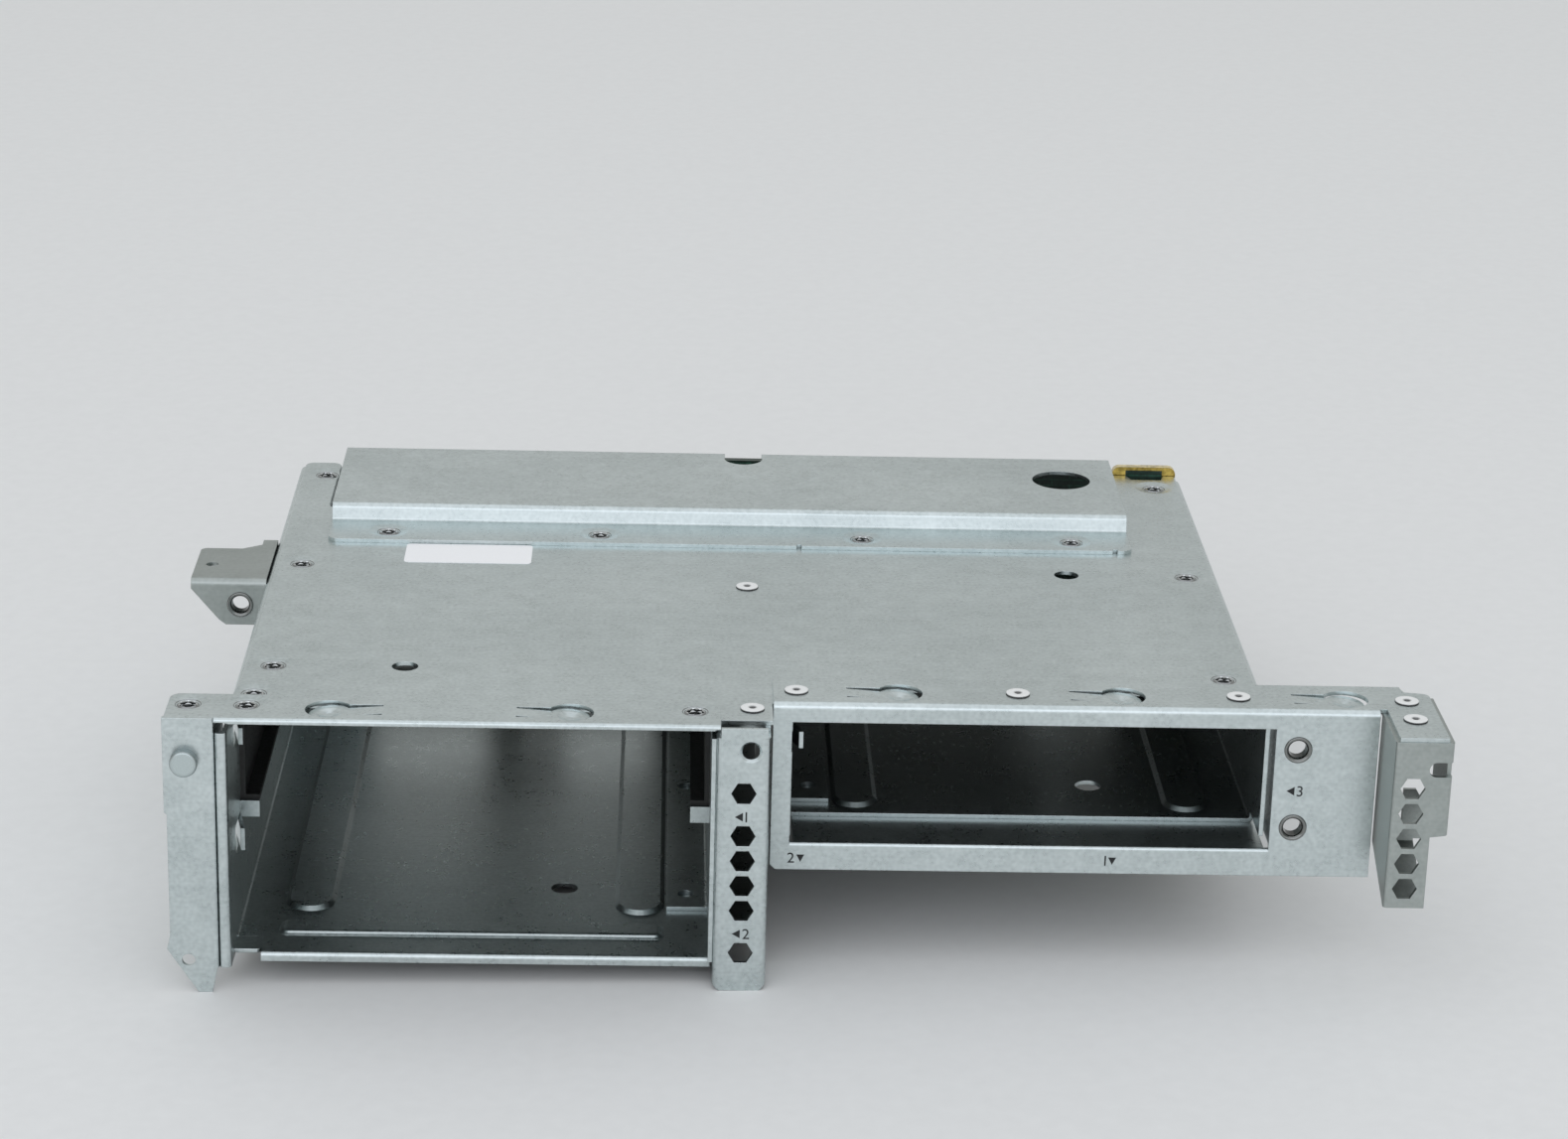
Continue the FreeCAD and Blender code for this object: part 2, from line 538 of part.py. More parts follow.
def add(part, plane, level, deep, *shapes, taper=None):
    """Pad shapes from a level toward the positive axis."""
    feature = part.newObject("PartDesign::Pad", part.Name + "_pad")
    feature.Profile = sketch(part, plane, level, *shapes)
    feature.Reversed = plane == "XZ"
    feature.setExpression("Length", ex(deep))
    if taper:
        feature.setExpression("TaperAngle", ex(taper))
    doc.recompute()
    return feature


def cut(part, plane, level, deep, *shapes, taper=None):
    """Pocket shapes from a level toward the positive axis."""
    feature = part.newObject("PartDesign::Pocket", part.Name + "_pocket")
    feature.Profile = sketch(part, plane, level, *shapes)
    feature.Reversed = plane != "XZ"
    feature.setExpression("Length", ex(deep))
    if taper:
        feature.setExpression("TaperAngle", ex(taper))
    doc.recompute()
    return feature


def edges(shape, axis, **at):
    """Names of the straight edges along an axis that pass through the given place."""
    way = {"x": FreeCAD.Vector(1, 0, 0), "y": FreeCAD.Vector(0, 1, 0), "z": FreeCAD.Vector(0, 0, 1)}[axis]
    names = []
    for i, edge in enumerate(shape.Edges, 1):
        if edge.Curve.TypeId != "Part::GeomLine" or abs(abs(edge.Curve.Direction.dot(way)) - 1) > 1e-6:
            continue
        middle = edge.valueAt((edge.FirstParameter + edge.LastParameter) / 2)
        if all(abs(getattr(middle, key) - number(text)) < 1e-3 for key, text in at.items()):
            names.append(f"Edge{i}")
    return names


def soften(part, radius, *places):
    """Round the edges at the given places; each place is an axis and its coordinates."""
    tip = part.Tip
    names = [name for axis, at in places for name in edges(tip.Shape, axis, **at)]
    if len(names) < len(places):
        raise RuntimeError(f"{part.Name}: only {len(names)} of {len(places)} edges to round")
    feature = part.newObject("PartDesign::Fillet", part.Name + "_fillet")
    feature.Base = (tip, names)
    feature.setExpression("Radius", ex(radius))
    doc.recompute()
    return feature


def fold(part, axis, inner, outer):
    """Give a fold its inside and outside radius."""
    soften(part, "bend", (axis, inner))
    soften(part, "bend + sheet", (axis, outer))


def put(thing, x, y, z):
    for key, text in (("x", x), ("y", y), ("z", z)):
        thing.setExpression(f"Placement.Base.{key}", ex(text))
    return thing


def turn(thing, axis, degrees):
    thing.Placement = FreeCAD.Placement(FreeCAD.Vector(), FreeCAD.Rotation(axis, degrees))
    return thing


def rod(name, across, long, x, y, z, lie=False):
    """A round rod from its diameter; lying rods run back along Y."""
    thing = doc.addObject("Part::Cylinder", name)
    thing.setExpression("Radius", ex(f"({across}) / 2"))
    thing.setExpression("Height", ex(long))
    if lie:
        turn(thing, FreeCAD.Vector(1, 0, 0), -90)
    return put(thing, x, y, z)


def funnel(name, low, top, high, x, y, z):
    """A cone from its lower and upper diameter."""
    thing = doc.addObject("Part::Cone", name)
    thing.setExpression("Radius1", ex(f"({low}) / 2"))
    thing.setExpression("Radius2", ex(f"({top}) / 2"))
    thing.setExpression("Height", ex(high))
    return put(thing, x, y, z)


def block(name, x0, x1, y0, y1, z0, z1):
    thing = doc.addObject("Part::Box", name)
    thing.setExpression("Length", ex(f"({x1}) - ({x0})"))
    thing.setExpression("Width", ex(f"({y1}) - ({y0})"))
    thing.setExpression("Height", ex(f"({z1}) - ({z0})"))
    return put(thing, x0, y0, z0)


def fuse(name, *things):
    thing = doc.addObject("Part::MultiFuse", name)
    thing.Shapes = list(things)
    return thing


def carve(name, base, *tools):
    thing = doc.addObject("Part::Cut", name)
    thing.Base = base
    thing.Tool = tools[0] if len(tools) == 1 else doc.addObject("Part::Compound", name + "_tools")
    if len(tools) > 1:
        thing.Tool.Links = list(tools)
    return thing


def group(name, things):
    thing = doc.addObject("Part::Compound", name)
    thing.Links = list(things)
    return thing


def seat_tools(name, spots, top):
    """Cutting tools for dimpled countersinks whose sheet ends at the given height."""
    tools = []
    for x, y in spots:
        low = f"({top}) - sheet"
        mid = f"({top}) - dimple_deep"
        deep = "sheet - dimple_deep"
        wide = "shank_round + 2 * head_clear"
        dimple = funnel(name + "_dimple", "head_round", "dimple_round", "dimple_deep", x, y, mid)
        sink = funnel(name + "_sink", wide, "head_round", deep, x, y, low)
        tools.append(fuse(name + "_seat", dimple, sink))
    return tools


def screw_set(name, spots, top):
    """Countersunk screws for those seats."""
    screws = []
    for x, y in spots:
        low = f"({top}) - sheet"
        head = funnel(name + "_head", "shank_round", "head_round - 2 * head_clear",
                      "sheet - dimple_deep", x, y, low)
        shank = rod(name + "_shank", "shank_round", "shank_long", x, y, f"({top}) - sheet - shank_long")
        screws.append(fuse(name + "_screw", head, shank))
    return finish(group(name, screws), name)


def rivet_set(name, spots, top, grip):
    """Rivets with a flat head on top and a formed tail below the sheets they hold."""
    rivets = []
    for x, y in spots:
        head = rod(name + "_head", "rivet_head", "rivet_high", x, y, top)
        shank = rod(name + "_shank", "rivet_shank", f"({grip}) + rivet_high", x, y, f"({top}) - ({grip})")
        tail = rod(name + "_tail", "rivet_tail", "rivet_high", x, y,
            f"({top}) - ({grip}) - rivet_high")
        rivets.append(fuse(name + "_rivet", head, shank, tail))
    return finish(group(name, rivets), name)


def finger_window(name, x, y, z, side):
    """The cut-out round a finger whose head lies at x; side is +1 when its arm runs right."""
    reach = "finger_head + finger_slot"
    half = "finger_arm / 2 + finger_slot"
    head = rod(name + "_head", f"2 * ({reach})", "sheet", x, y, z)
    ends = (x, f"{x} + finger_long") if side > 0 else (f"{x} - finger_long", x)
    arm = block(name + "_arm", ends[0], ends[1], f"{y} - ({half})", f"{y} + ({half})", z, f"{z} + sheet")
    return fuse(name + "_window", head, arm)


def finger(name, x, y, top, side):
    """A spring finger: an arm and a round head with a pressed contact dimple, leaning down."""
    reach = "finger_long" if side > 0 else "0 - finger_long"
    span = ("0 - finger_long", "sheet / 2") if side > 0 else ("0 - sheet / 2", "finger_long")
    spot = "0 - finger_long" if side > 0 else "finger_long"
    head = rod(name + "_head", "2 * finger_head", "sheet", spot, "0", "0 - sheet")
    arm = block(name + "_arm", span[0], span[1], "0 - finger_arm / 2", "finger_arm / 2", "0 - sheet", "0")
    boss = funnel(name + "_boss", "finger_pit", "finger_dimple", "finger_dimple_deep",
                  spot, "0", "0 - sheet - finger_dimple_deep")
    pit = funnel(name + "_pit", "finger_pit", "finger_dimple", "finger_dimple_deep",
                 spot, "0", "0 - finger_dimple_deep")
    thing = carve(name, fuse(name + "_blank", head, arm, boss), pit)
    turn(thing, FreeCAD.Vector(0, -side, 0), 1)
    thing.setExpression("Placement.Rotation.Angle", ex("finger_dip"))
    return put(thing, f"{x} + ({reach})", y, top)


# Places that several pieces share
LID_SCREWS = []
for step in range(3):
    back = f"(screw_first + {step} * ({LID_BACK} - screw_first - screw_last) / 2)"
    LID_SCREWS.append(("screw_inset", back))
    LID_SCREWS.append((f"({WALL_R} - right_screw_inset)", back))
CORNER_SCREW = ("corner_screw_x", "corner_screw_y")
STRIP_OUTER = ("0 - strip_screw_left", "strip_screw_back")
STRIP_INNER = ("strip_screw_inner", "strip_screw_back")
STRIP_RIGHT = (f"({CHAN_IN} - strip_screw_right)", "strip_screw_back")
COVER_SCREWS = []
for side in ("- cover_screw_outer", "- cover_screw_inner", "+ cover_screw_inner", "+ cover_screw_outer"):
    COVER_SCREWS.append((f"({COVER_MID} {side})", "(cover_front + cover_screw_back)"))
PLATE_RIVETS = []
for back in ("plate_rivet_front", "plate_rivet_back"):
    PLATE_RIVETS.append((f"({CHAN_OUT} + plate_rivet_x)", back))
FRAME_RIVETS = []
for step in range(3):
    span = "(frame_wide - frame_rivet_first - frame_rivet_last)"
    across = f"({FRAME_L} + frame_rivet_first + {step} * {span} / 2)"
    FRAME_RIVETS.append((across, "(frame_front + frame_rivet_back)"))
END_RIVETS = []
for step in range(2):
    END_RIVETS.append((f"({END_L} + end_rivet_inset)", f"(end_rivet_front + {step} * end_rivet_pitch)"))
STRIP_FINGERS = [("strip_finger_left", "strip_finger_back", 1)]
STRIP_FINGERS.append((f"({CHAN_IN} - strip_finger_right)", "strip_finger_back", -1))
FRAME_FINGERS = []
for step in range(3):
    span = "(frame_wide - frame_finger_first - frame_finger_last)"
    across = f"({FRAME_L} + frame_finger_first + {step} * {span} / 2)"
    FRAME_FINGERS.append((across, "(frame_front + frame_finger_back)", -1))
UPPER = "(lid_top - board_screw_drop)"
BOARD_SCREWS = [
    (f"({BOARD_L} + board_screw_inset)", UPPER),
    (f"({BOARD_L} + board_screw_inset)", f"({UPPER} - board_screw_low)"),
    (f"({CHAN_OUT} + board_screw_centre)", UPPER),
    (f"({CHAN_OUT} + board_screw_centre)", f"({UPPER} - board_screw_low)"),
    (f"({BOARD_R} - board_screw_right)", UPPER),
    (f"({BOARD_R} - board_screw_right)", f"({UPPER} - board_screw_low_right)")]
PASS = "shank_round + 2 * head_clear"


def ribs(part, floor, spots):
    """Press ribs up from a floor: raised on top and hollow underneath."""
    for shape, hollow in spots:
        add(part, "XY", floor, "rib_high", shape, taper="0 - rib_slope")
        cut(part, "XY", f"{floor} - sheet", "rib_high", hollow, taper="0 - rib_slope")


def rib(u, front, back, wide):
    """A rib's outline and the smaller outline of its hollow."""
    return capsule(u, front, back, wide), capsule(u, f"{front} + sheet", f"{back} - sheet",
        f"{wide} - 2 * sheet")


# Left tray: wall, floor and ledge of the stacked bays in one sheet
tray = body("left_tray_body")
low = f"{LEFT_FLOOR} - sheet"
add(tray, "XZ", "tray_fold_front", f"{TRAY_BACK} - tray_fold_front",
    outline(("0", low), (CHAN_OUT, low), (CHAN_OUT, LEFT_FLOOR), (LEFT_IN, LEFT_FLOOR),
            (LEFT_IN, LEDGE_LOW), ("ledge_wide", LEDGE_LOW), ("ledge_wide", LID_LOW), ("0", LID_LOW)))
fold(tray, "y", {"x": LEFT_IN, "z": LEFT_FLOOR}, {"x": "0", "z": low})
fold(tray, "y", {"x": LEFT_IN, "z": LEDGE_LOW}, {"x": "0", "z": LID_LOW})
# Hemmed front edge of the wall
add(tray, "XY", "hem_low", f"{LID_LOW} - hem_low - bend - sheet", rect(HEM_OUT, LEFT_IN, "0", "hem_long"))
cut(tray, "XY", "hem_low", f"{LID_LOW} - hem_low - bend - sheet",
    rect("0 - hem_gap", "0", "sheet + hem_gap / 2", "hem_long"))
soften(tray, "sheet + hem_gap / 4", ("z", {"x": HEM_OUT, "y": "0"}), ("z", {"x": LEFT_IN, "y": "0"}))
add(tray, "XY", "hem_low", f"{LID_LOW} - hem_low - bend - sheet",
    rect("0", LEFT_IN, "hem_long", "tray_fold_front + bend"))
# Floor in front of the long fold, with its rolled lip, and the part behind the pillar
add(tray, "XY", low, "sheet", rect("floor_relief + sheet", f"{CHAN_IN} + sheet / 2", "floor_front",
    "tray_fold_front"))
add(tray, "XY", f"{LEFT_FLOOR} - floor_lip", "floor_lip",
    rect("floor_relief + sheet", f"{CHAN_IN} + sheet / 2", "floor_front", "floor_front + sheet"))
soften(tray, "bend + sheet / 2", ("x", {"y": "floor_front", "z": LEFT_FLOOR}))
add(tray, "XY", low, "sheet", rect(CHAN_OUT, PILLAR_R, "floor_tail_front", TRAY_BACK))
# Board flange at the back
add(tray, "XZ", TRAY_BACK, "sheet",
    rect("0", "back_flange", f"{LEFT_FLOOR} + back_flange_low", f"{LEDGE_LOW} - back_flange_top"))
soften(tray, "bend", ("z", {"x": LEFT_IN, "y": TRAY_BACK, "z": FLANGE_MID}))
soften(tray, "bend", ("z", {"x": "0", "y": "board_front"}))
ribs(tray, LEFT_FLOOR, [
    rib(f"{LEFT_IN} + rib_inset + rib_wide / 2", "rib_front", "rib_back", "rib_wide"),
    rib(f"{RIB_END} - rib_wide / 2", "rib_front", "rib_back", "rib_wide")])
cross_l = f"{LEFT_IN} + rib_inset"
cross_r = RIB_END
cross_b = "cross_rib_front + cross_rib_wide"
add(tray, "XY", LEFT_FLOOR, "cross_rib_high", rounded(cross_l, cross_r, "cross_rib_front", cross_b,
    "cross_rib_round"), taper="0 - cross_rib_slope")
cut(tray, "XY", low, "cross_rib_high", rounded(f"{cross_l} + sheet", f"{cross_r} - sheet",
    "cross_rib_front + sheet",
    f"{cross_b} - sheet", "(cross_rib_round - sheet)"), taper="0 - cross_rib_slope")
cut(tray, "XY", low, "sheet", ring(f"{LEFT_IN} + floor_hole_inset", "floor_hole_back", "floor_hole"))
cut(tray, "XY", LEDGE_LOW, "sheet", ring(*CORNER_SCREW, PASS),
    *[ring(x, y, PASS) for x, y in LID_SCREWS if x == "screw_inset"])
cut(tray, "XZ", TRAY_BACK, "sheet", *[ring(x, z, PASS) for x, z in BOARD_SCREWS[:2]])
# Lanced guide tabs that lean into the bays
guide_tip = "guide_root - guide_long"
for drop, high in (("upper_guide_drop", "upper_guide_high"), ("lower_guide_drop", "lower_guide_high")):
    base = f"lid_top - {drop} - {high}"
    cut(tray, "YZ", "0", "sheet", rect(f"{guide_tip} - guide_slot", "guide_root", f"{base} - guide_slot",
        f"{base} + {high} + guide_slot"))
    add(tray, "XY", base, high, outline(
        ("0", "guide_root + sheet / 2"), ("0", "guide_root"), ("guide_lean", guide_tip),
        ("guide_lean + sheet", guide_tip), (LEFT_IN, "guide_root"), (LEFT_IN, "guide_root + sheet / 2")))
# Bent tab under the front end of the left rail
add(tray, "XZ", "rail_front - sheet", "sheet", rect("0", f"{LEFT_IN} + rail_ledge",
    f"{RAIL_TOP} - rail_thick - rail_stop_high", f"{RAIL_TOP} - rail_thick"))
finish(tray, "left_tray")

# Right tray: floor, wall and ledge of the single bay
tray = body("right_tray_body")
add(tray, "XZ", "right_floor_front", f"{TRAY_BACK} - right_floor_front",
    outline((f"{CHAN_FAR} + sheet / 2", SILL), (WALL_R, SILL), (WALL_R, LID_LOW),
    (f"{WALL_R} - ledge_wide", LID_LOW),
            (f"{WALL_R} - ledge_wide", LEDGE_LOW), (WALL_R_IN, LEDGE_LOW), (WALL_R_IN, RIGHT_FLOOR),
            (f"{CHAN_FAR} + sheet / 2", RIGHT_FLOOR)))
fold(tray, "y", {"x": WALL_R_IN, "z": RIGHT_FLOOR}, {"x": WALL_R, "z": SILL})
fold(tray, "y", {"x": WALL_R_IN, "z": LEDGE_LOW}, {"x": WALL_R, "z": LID_LOW})
add(tray, "YZ", WALL_R_IN, "sheet", rect("right_wall_front", "right_floor_front + sheet",
    f"{RIGHT_FLOOR} + bend + sheet", f"{LEDGE_LOW} - bend"))
add(tray, "XZ", TRAY_BACK, "sheet", rect(f"{WALL_R} - back_flange", WALL_R,
    f"{RIGHT_FLOOR} + back_flange_low", f"{LEDGE_LOW} - back_flange_top"))
soften(tray, "bend", ("z", {"x": WALL_R_IN, "y": TRAY_BACK, "z": FLANGE_MID_R}))
soften(tray, "bend", ("z", {"x": WALL_R, "y": "board_front"}))
ribs(tray, RIGHT_FLOOR, [
    rib(f"{RIGHT_IN} + foot_wide + right_rib_foot_gap + right_rib_wide / 2", "right_rib_front", "rib_back",
        "right_rib_wide"),
    rib(f"{WALL_R_IN} - right_rib_inset - right_rib_wide / 2", "right_rib_front", "rib_back",
    "right_rib_wide")])
cut(tray, "XY", SILL, "sheet", ring(f"{RIGHT_IN} + right_hole_inset", "right_hole_back", "floor_hole"))
cut(tray, "XY", LEDGE_LOW, "sheet", *[ring(x, y, PASS) for x, y in LID_SCREWS if x != "screw_inset"])
cut(tray, "XZ", TRAY_BACK, "sheet", *[ring(x, z, PASS) for x, z in BOARD_SCREWS[4:]])
finish(tray, "right_tray")

# Centre channel: an inverted U between the bays with a foot on each floor
chan = body("centre_channel_body")
foot_back = f"{TRAY_BACK} - foot_back_gap"
add(chan, "XZ", "web_front", f"{TRAY_BACK} - web_front",
    outline((CHAN_IN, LEFT_FLOOR), (CHAN_OUT, LEFT_FLOOR), (CHAN_OUT, LEDGE_LOW), (CHAN_FAR, LEDGE_LOW),
            (CHAN_FAR, RIGHT_FLOOR), (RIGHT_IN, RIGHT_FLOOR), (RIGHT_IN, LID_LOW), (CHAN_IN, LID_LOW)))
fold(chan, "y", {"x": CHAN_OUT, "z": LEDGE_LOW}, {"x": CHAN_IN, "z": LID_LOW})
fold(chan, "y", {"x": CHAN_FAR, "z": LEDGE_LOW}, {"x": RIGHT_IN, "z": LID_LOW})
add(chan, "YZ", CHAN_IN, "sheet", rect("channel_front", "web_front + sheet", LEFT_FLOOR,
    f"{LEDGE_LOW} - bend"))
add(chan, "YZ", CHAN_FAR, "sheet", rect("right_wall_front", "web_front + sheet", RIGHT_FLOOR,
    f"{LEDGE_LOW} - bend"))
add(chan, "XY", LEFT_FLOOR, "sheet", rect(f"{CHAN_IN} - foot_wide", CHAN_OUT, "left_foot_front", foot_back))
add(chan, "XY", RIGHT_FLOOR, "sheet", rect(CHAN_FAR, f"{RIGHT_IN} + foot_wide", "right_foot_front",
    foot_back))
soften(chan, "bend", ("y", {"x": CHAN_IN, "z": f"{LEFT_FLOOR} + sheet"}),
       ("y", {"x": RIGHT_IN, "z": f"{RIGHT_FLOOR} + sheet"}))
add(chan, "XZ", TRAY_BACK, "sheet", rect(CHAN_IN, f"{CHAN_FAR} - sheet", f"{LEFT_FLOOR} + back_flange_low",
    f"{LEDGE_LOW} - back_flange_top"))
soften(chan, "bend", ("z", {"x": CHAN_OUT, "y": TRAY_BACK, "z": FLANGE_MID}))
soften(chan, "bend", ("z", {"x": CHAN_IN, "y": "board_front"}))
cut(chan, "XY", LEFT_FLOOR, "sheet",
    ring(f"{CHAN_IN} - foot_hole_inset", "foot_hole_first", "foot_hole"),
    ring(f"{CHAN_IN} - foot_hole_inset", "foot_hole_first + foot_hole_pitch", "foot_hole"))
cut(chan, "XY", RIGHT_FLOOR, "sheet", ring(f"{RIGHT_IN} + foot_hole_inset", "right_foot_hole", "foot_hole"))
cut(chan, "XY", LEDGE_LOW, "sheet", ring(*PLATE_RIVETS[1], "rivet_shank"))
cut(chan, "XZ", TRAY_BACK, "sheet", *[ring(x, z, PASS) for x, z in BOARD_SCREWS[2:4]])
base = "lid_top - upper_guide_drop - upper_guide_high"
cut(chan, "YZ", CHAN_FAR, "sheet", rect("right_wall_front - sheet", "guide_root + sheet / 2",
    f"{base} - guide_slot", f"{base} + upper_guide_high + guide_slot"))
add(chan, "XY", base, "upper_guide_high", outline(
    (CHAN_FAR, "guide_root + sheet"), (RIGHT_IN, "guide_root + sheet"),
    (f"{RIGHT_IN} + guide_lean + sheet / 2", "right_wall_front + sheet"),
    (f"{CHAN_FAR} + guide_lean + sheet / 2", "right_wall_front + sheet")))
add(chan, "XZ", "rail_front - sheet", "sheet", rect(f"{CHAN_IN} - rail_ledge", CHAN_OUT,
    f"{RAIL_TOP} - rail_thick - rail_stop_high", f"{RAIL_TOP} - rail_thick"))
finish(chan, "centre_channel")

# Black guide rails of the stacked bays
rail = body("left_rail_body")
add(rail, "XZ", "rail_front", "rail_back - rail_front",
    outline((LEFT_IN, f"{RAIL_TOP} - rail_thick"), (f"{LEFT_IN} + rail_ledge", f"{RAIL_TOP} - rail_thick"),
            (f"{LEFT_IN} + rail_ledge", RAIL_TOP), (f"{LEFT_IN} + rail_thick", RAIL_TOP),
            (f"{LEFT_IN} + rail_thick", f"{RAIL_TOP} + rail_high"), (LEFT_IN, f"{RAIL_TOP} + rail_high")))
soften(rail, "rail_thick / 2", ("x", {"y": "rail_front", "z": f"{RAIL_TOP} + rail_high"}))
finish(rail, "left_rail")
rail = body("right_rail_body")
add(rail, "XZ", "rail_front", "rail_back - rail_front",
    outline((CHAN_IN, f"{RAIL_TOP} - rail_thick"), (CHAN_IN, f"{RAIL_TOP} + rail_high"),
            (f"{CHAN_IN} - rail_thick", f"{RAIL_TOP} + rail_high"), (f"{CHAN_IN} - rail_thick", RAIL_TOP),
            (f"{CHAN_IN} - rail_ledge", RAIL_TOP), (f"{CHAN_IN} - rail_ledge", f"{RAIL_TOP} - rail_thick")))
soften(rail, "rail_thick / 2", ("x", {"y": "rail_front", "z": f"{RAIL_TOP} + rail_high"}))
finish(rail, "right_rail")

# Lid
lid = body("top_plate_body")
cut_l = f"{LID_L} + left_tab"
cut_r = f"{LID_R} - right_tab"
notch = f"{LID_R} - notch_inset"
add(lid, "XY", LID_LOW, "sheet", outline(
    (f"{LID_L} - lid_flare", "lid_front"), (CHAN_OUT, "lid_front"), (CHAN_OUT, "lid_centre_front"),
    (f"{FRAME_L} - sheet / 4", "lid_centre_front"), (f"{FRAME_L} - sheet / 4", "lid_right_front"),
    (LID_R, "lid_right_front"), (LID_R, LID_BACK),
    (f"{notch} + notch_wide / 2", LID_BACK), (f"{notch} + notch_wide / 2 - notch_taper",
    f"{LID_BACK} - notch_deep"),
    (f"{notch} - notch_wide / 2 + notch_taper", f"{LID_BACK} - notch_deep"),
    (f"{notch} - notch_wide / 2", LID_BACK),
    (cut_r, LID_BACK), (cut_r, "cut_front"), (cut_l, "cut_front"), (cut_l, LID_BACK), (LID_L, LID_BACK),
    (LID_L, "flare_back"), (f"{LID_L} - lid_flare", "flare_front")))
soften(lid, "tab_round", ("z", {"x": cut_l, "y": LID_BACK}), ("z", {"x": LID_L, "y": LID_BACK}),
       ("z", {"x": cut_l, "y": "cut_front"}), ("z", {"x": cut_r, "y": "cut_front"}))
soften(lid, "lid_roll", ("y", {"x": LID_R, "z": LID}), ("y", {"x": LID_L, "z": LID}))
cut(lid, "XY", LID_LOW, "sheet",
    ring("lid_hole_first_x", "lid_hole_first_y", "lid_hole"),
    ring(f"{WALL_R} - lid_hole_second_x", "lid_hole_second_y", "lid_hole"),
    *[ring(x, y, "rivet_shank") for x, y in PLATE_RIVETS + FRAME_RIVETS],
    *[ring(x, y, PASS) for x, y in COVER_SCREWS + [STRIP_INNER, STRIP_RIGHT]])
room = "finger_head + finger_slot + finger_room"
for fingers, edge in ((STRIP_FINGERS, "lid_front"), (FRAME_FINGERS[:2], "lid_right_front")):
    windows = []
    for x, y, side in fingers:
        ends = [f"{x} - finger_long - finger_slot", f"{x} + {room}"]
        if side > 0:
            ends = [f"{x} - ({room})", f"{x} + finger_long + finger_slot"]
        windows.append(rect(*ends, edge, f"{y} + finger_head + finger_slot"))
    cut(lid, "XY", LID_LOW, "sheet", *windows)
lid = carve("top_plate", lid, *seat_tools("lid", LID_SCREWS + [CORNER_SCREW], LID))
finish(lid, "top_plate")
screw_set("plate_screws", LID_SCREWS + [CORNER_SCREW], LID)
rivet_set("plate_rivets", PLATE_RIVETS, LID, "2 * sheet")

# Raised cover over the lid's cut-out
cover = body("rear_cover_body")
foot = "cover_front + cover_flange"
raised = f"{LID} + sheet + cover_rise"
add(cover, "YZ", COVER_L, "cover_wide", outline(
    ("cover_front", LID), (f"{foot} + sheet", LID), (f"{foot} + sheet + cover_lean", f"{raised} - sheet"),
    (COVER_BACK, f"{raised} - sheet"), (COVER_BACK, raised), (f"{foot} + cover_lean", raised),
    (foot, OVER), ("cover_front", OVER)))
soften(cover, "bend", ("x", {"y": foot, "z": OVER}), ("x", {"y": f"{foot} + sheet + cover_lean",
    "z": f"{raised} - sheet"}))
soften(cover, "bend + sheet", ("x", {"y": f"{foot} + cover_lean", "z": raised}),
    ("x", {"y": f"{foot} + sheet", "z": LID}))
soften(cover, "cover_round", ("z", {"x": COVER_L, "y": "cover_front"}),
    ("z", {"x": COVER_R, "y": "cover_front"}))
cut(cover, "XY", f"{raised} - sheet", "sheet",
    ring(f"{COVER_R} - cover_hole_inset", f"{COVER_BACK} - cover_hole_back", "cover_hole"))
bite = f"{COVER_MID} + cover_bite_offset"
cut(cover, "XY", f"{raised} - sheet", "sheet", ring(bite, f"{COVER_BACK} - cover_bite_back", "cover_bite"))
cut(cover, "XY", f"{raised} - sheet", "sheet", rect(f"{bite} - cover_bite / 2 + sheet / 8",
    f"{bite} + cover_bite / 2 - sheet / 8", f"{COVER_BACK} - cover_bite_back", COVER_BACK))
for side in ("cover_nick_inner", "cover_nick_outer"):
    cut(cover, "XY", LID, "sheet", rect(f"{COVER_MID} + {side} - cover_nick / 2",
        f"{COVER_MID} + {side} + cover_nick / 2", "cover_front", "cover_front + cover_nick"))
cover = carve("rear_cover", cover, *seat_tools("cover", COVER_SCREWS, OVER))
finish(cover, "rear_cover")
screw_set("cover_screws", COVER_SCREWS, OVER)

# Front strip with two spring fingers
strip = body("front_strip_body")
left = "0 - strip_left"
right = f"{CHAN_OUT} + strip_right"
add(strip, "XY", LID, "sheet", outline(
    (left, "sheet"), (HEM_OUT, "sheet"), (HEM_OUT, "0"), (right, "0"),
    (right, "strip_deep - strip_cut_long"),
    (f"{right} - strip_cut", "strip_deep"), ("strip_pad_wide + strip_step", "strip_deep"),
    ("strip_pad_wide", "strip_pad_deep"), (left, "strip_pad_deep")))
soften(strip, "strip_round", ("z", {"x": left, "y": "strip_pad_deep"}))
add(strip, "XZ", "0", "sheet", rect("strip_lip_inset", f"{CHAN_OUT} - strip_lip_inset / 4",
    f"{LID} - strip_lip", LID))
soften(strip, "bend + sheet / 4", ("x", {"y": "0", "z": OVER}))
tools = [finger_window("strip_finger", x, y, LID, side) for x, y, side in STRIP_FINGERS]
tools += seat_tools("strip", [STRIP_OUTER, STRIP_INNER, STRIP_RIGHT], OVER)
strip = carve("front_strip_sheet", strip, *tools)
strip = fuse("front_strip", strip, *[finger("strip_finger", x, y, OVER, side) for x, y,
    side in STRIP_FINGERS])
finish(strip, "front_strip")
screw_set("strip_screws", [STRIP_OUTER, STRIP_INNER, STRIP_RIGHT], OVER)

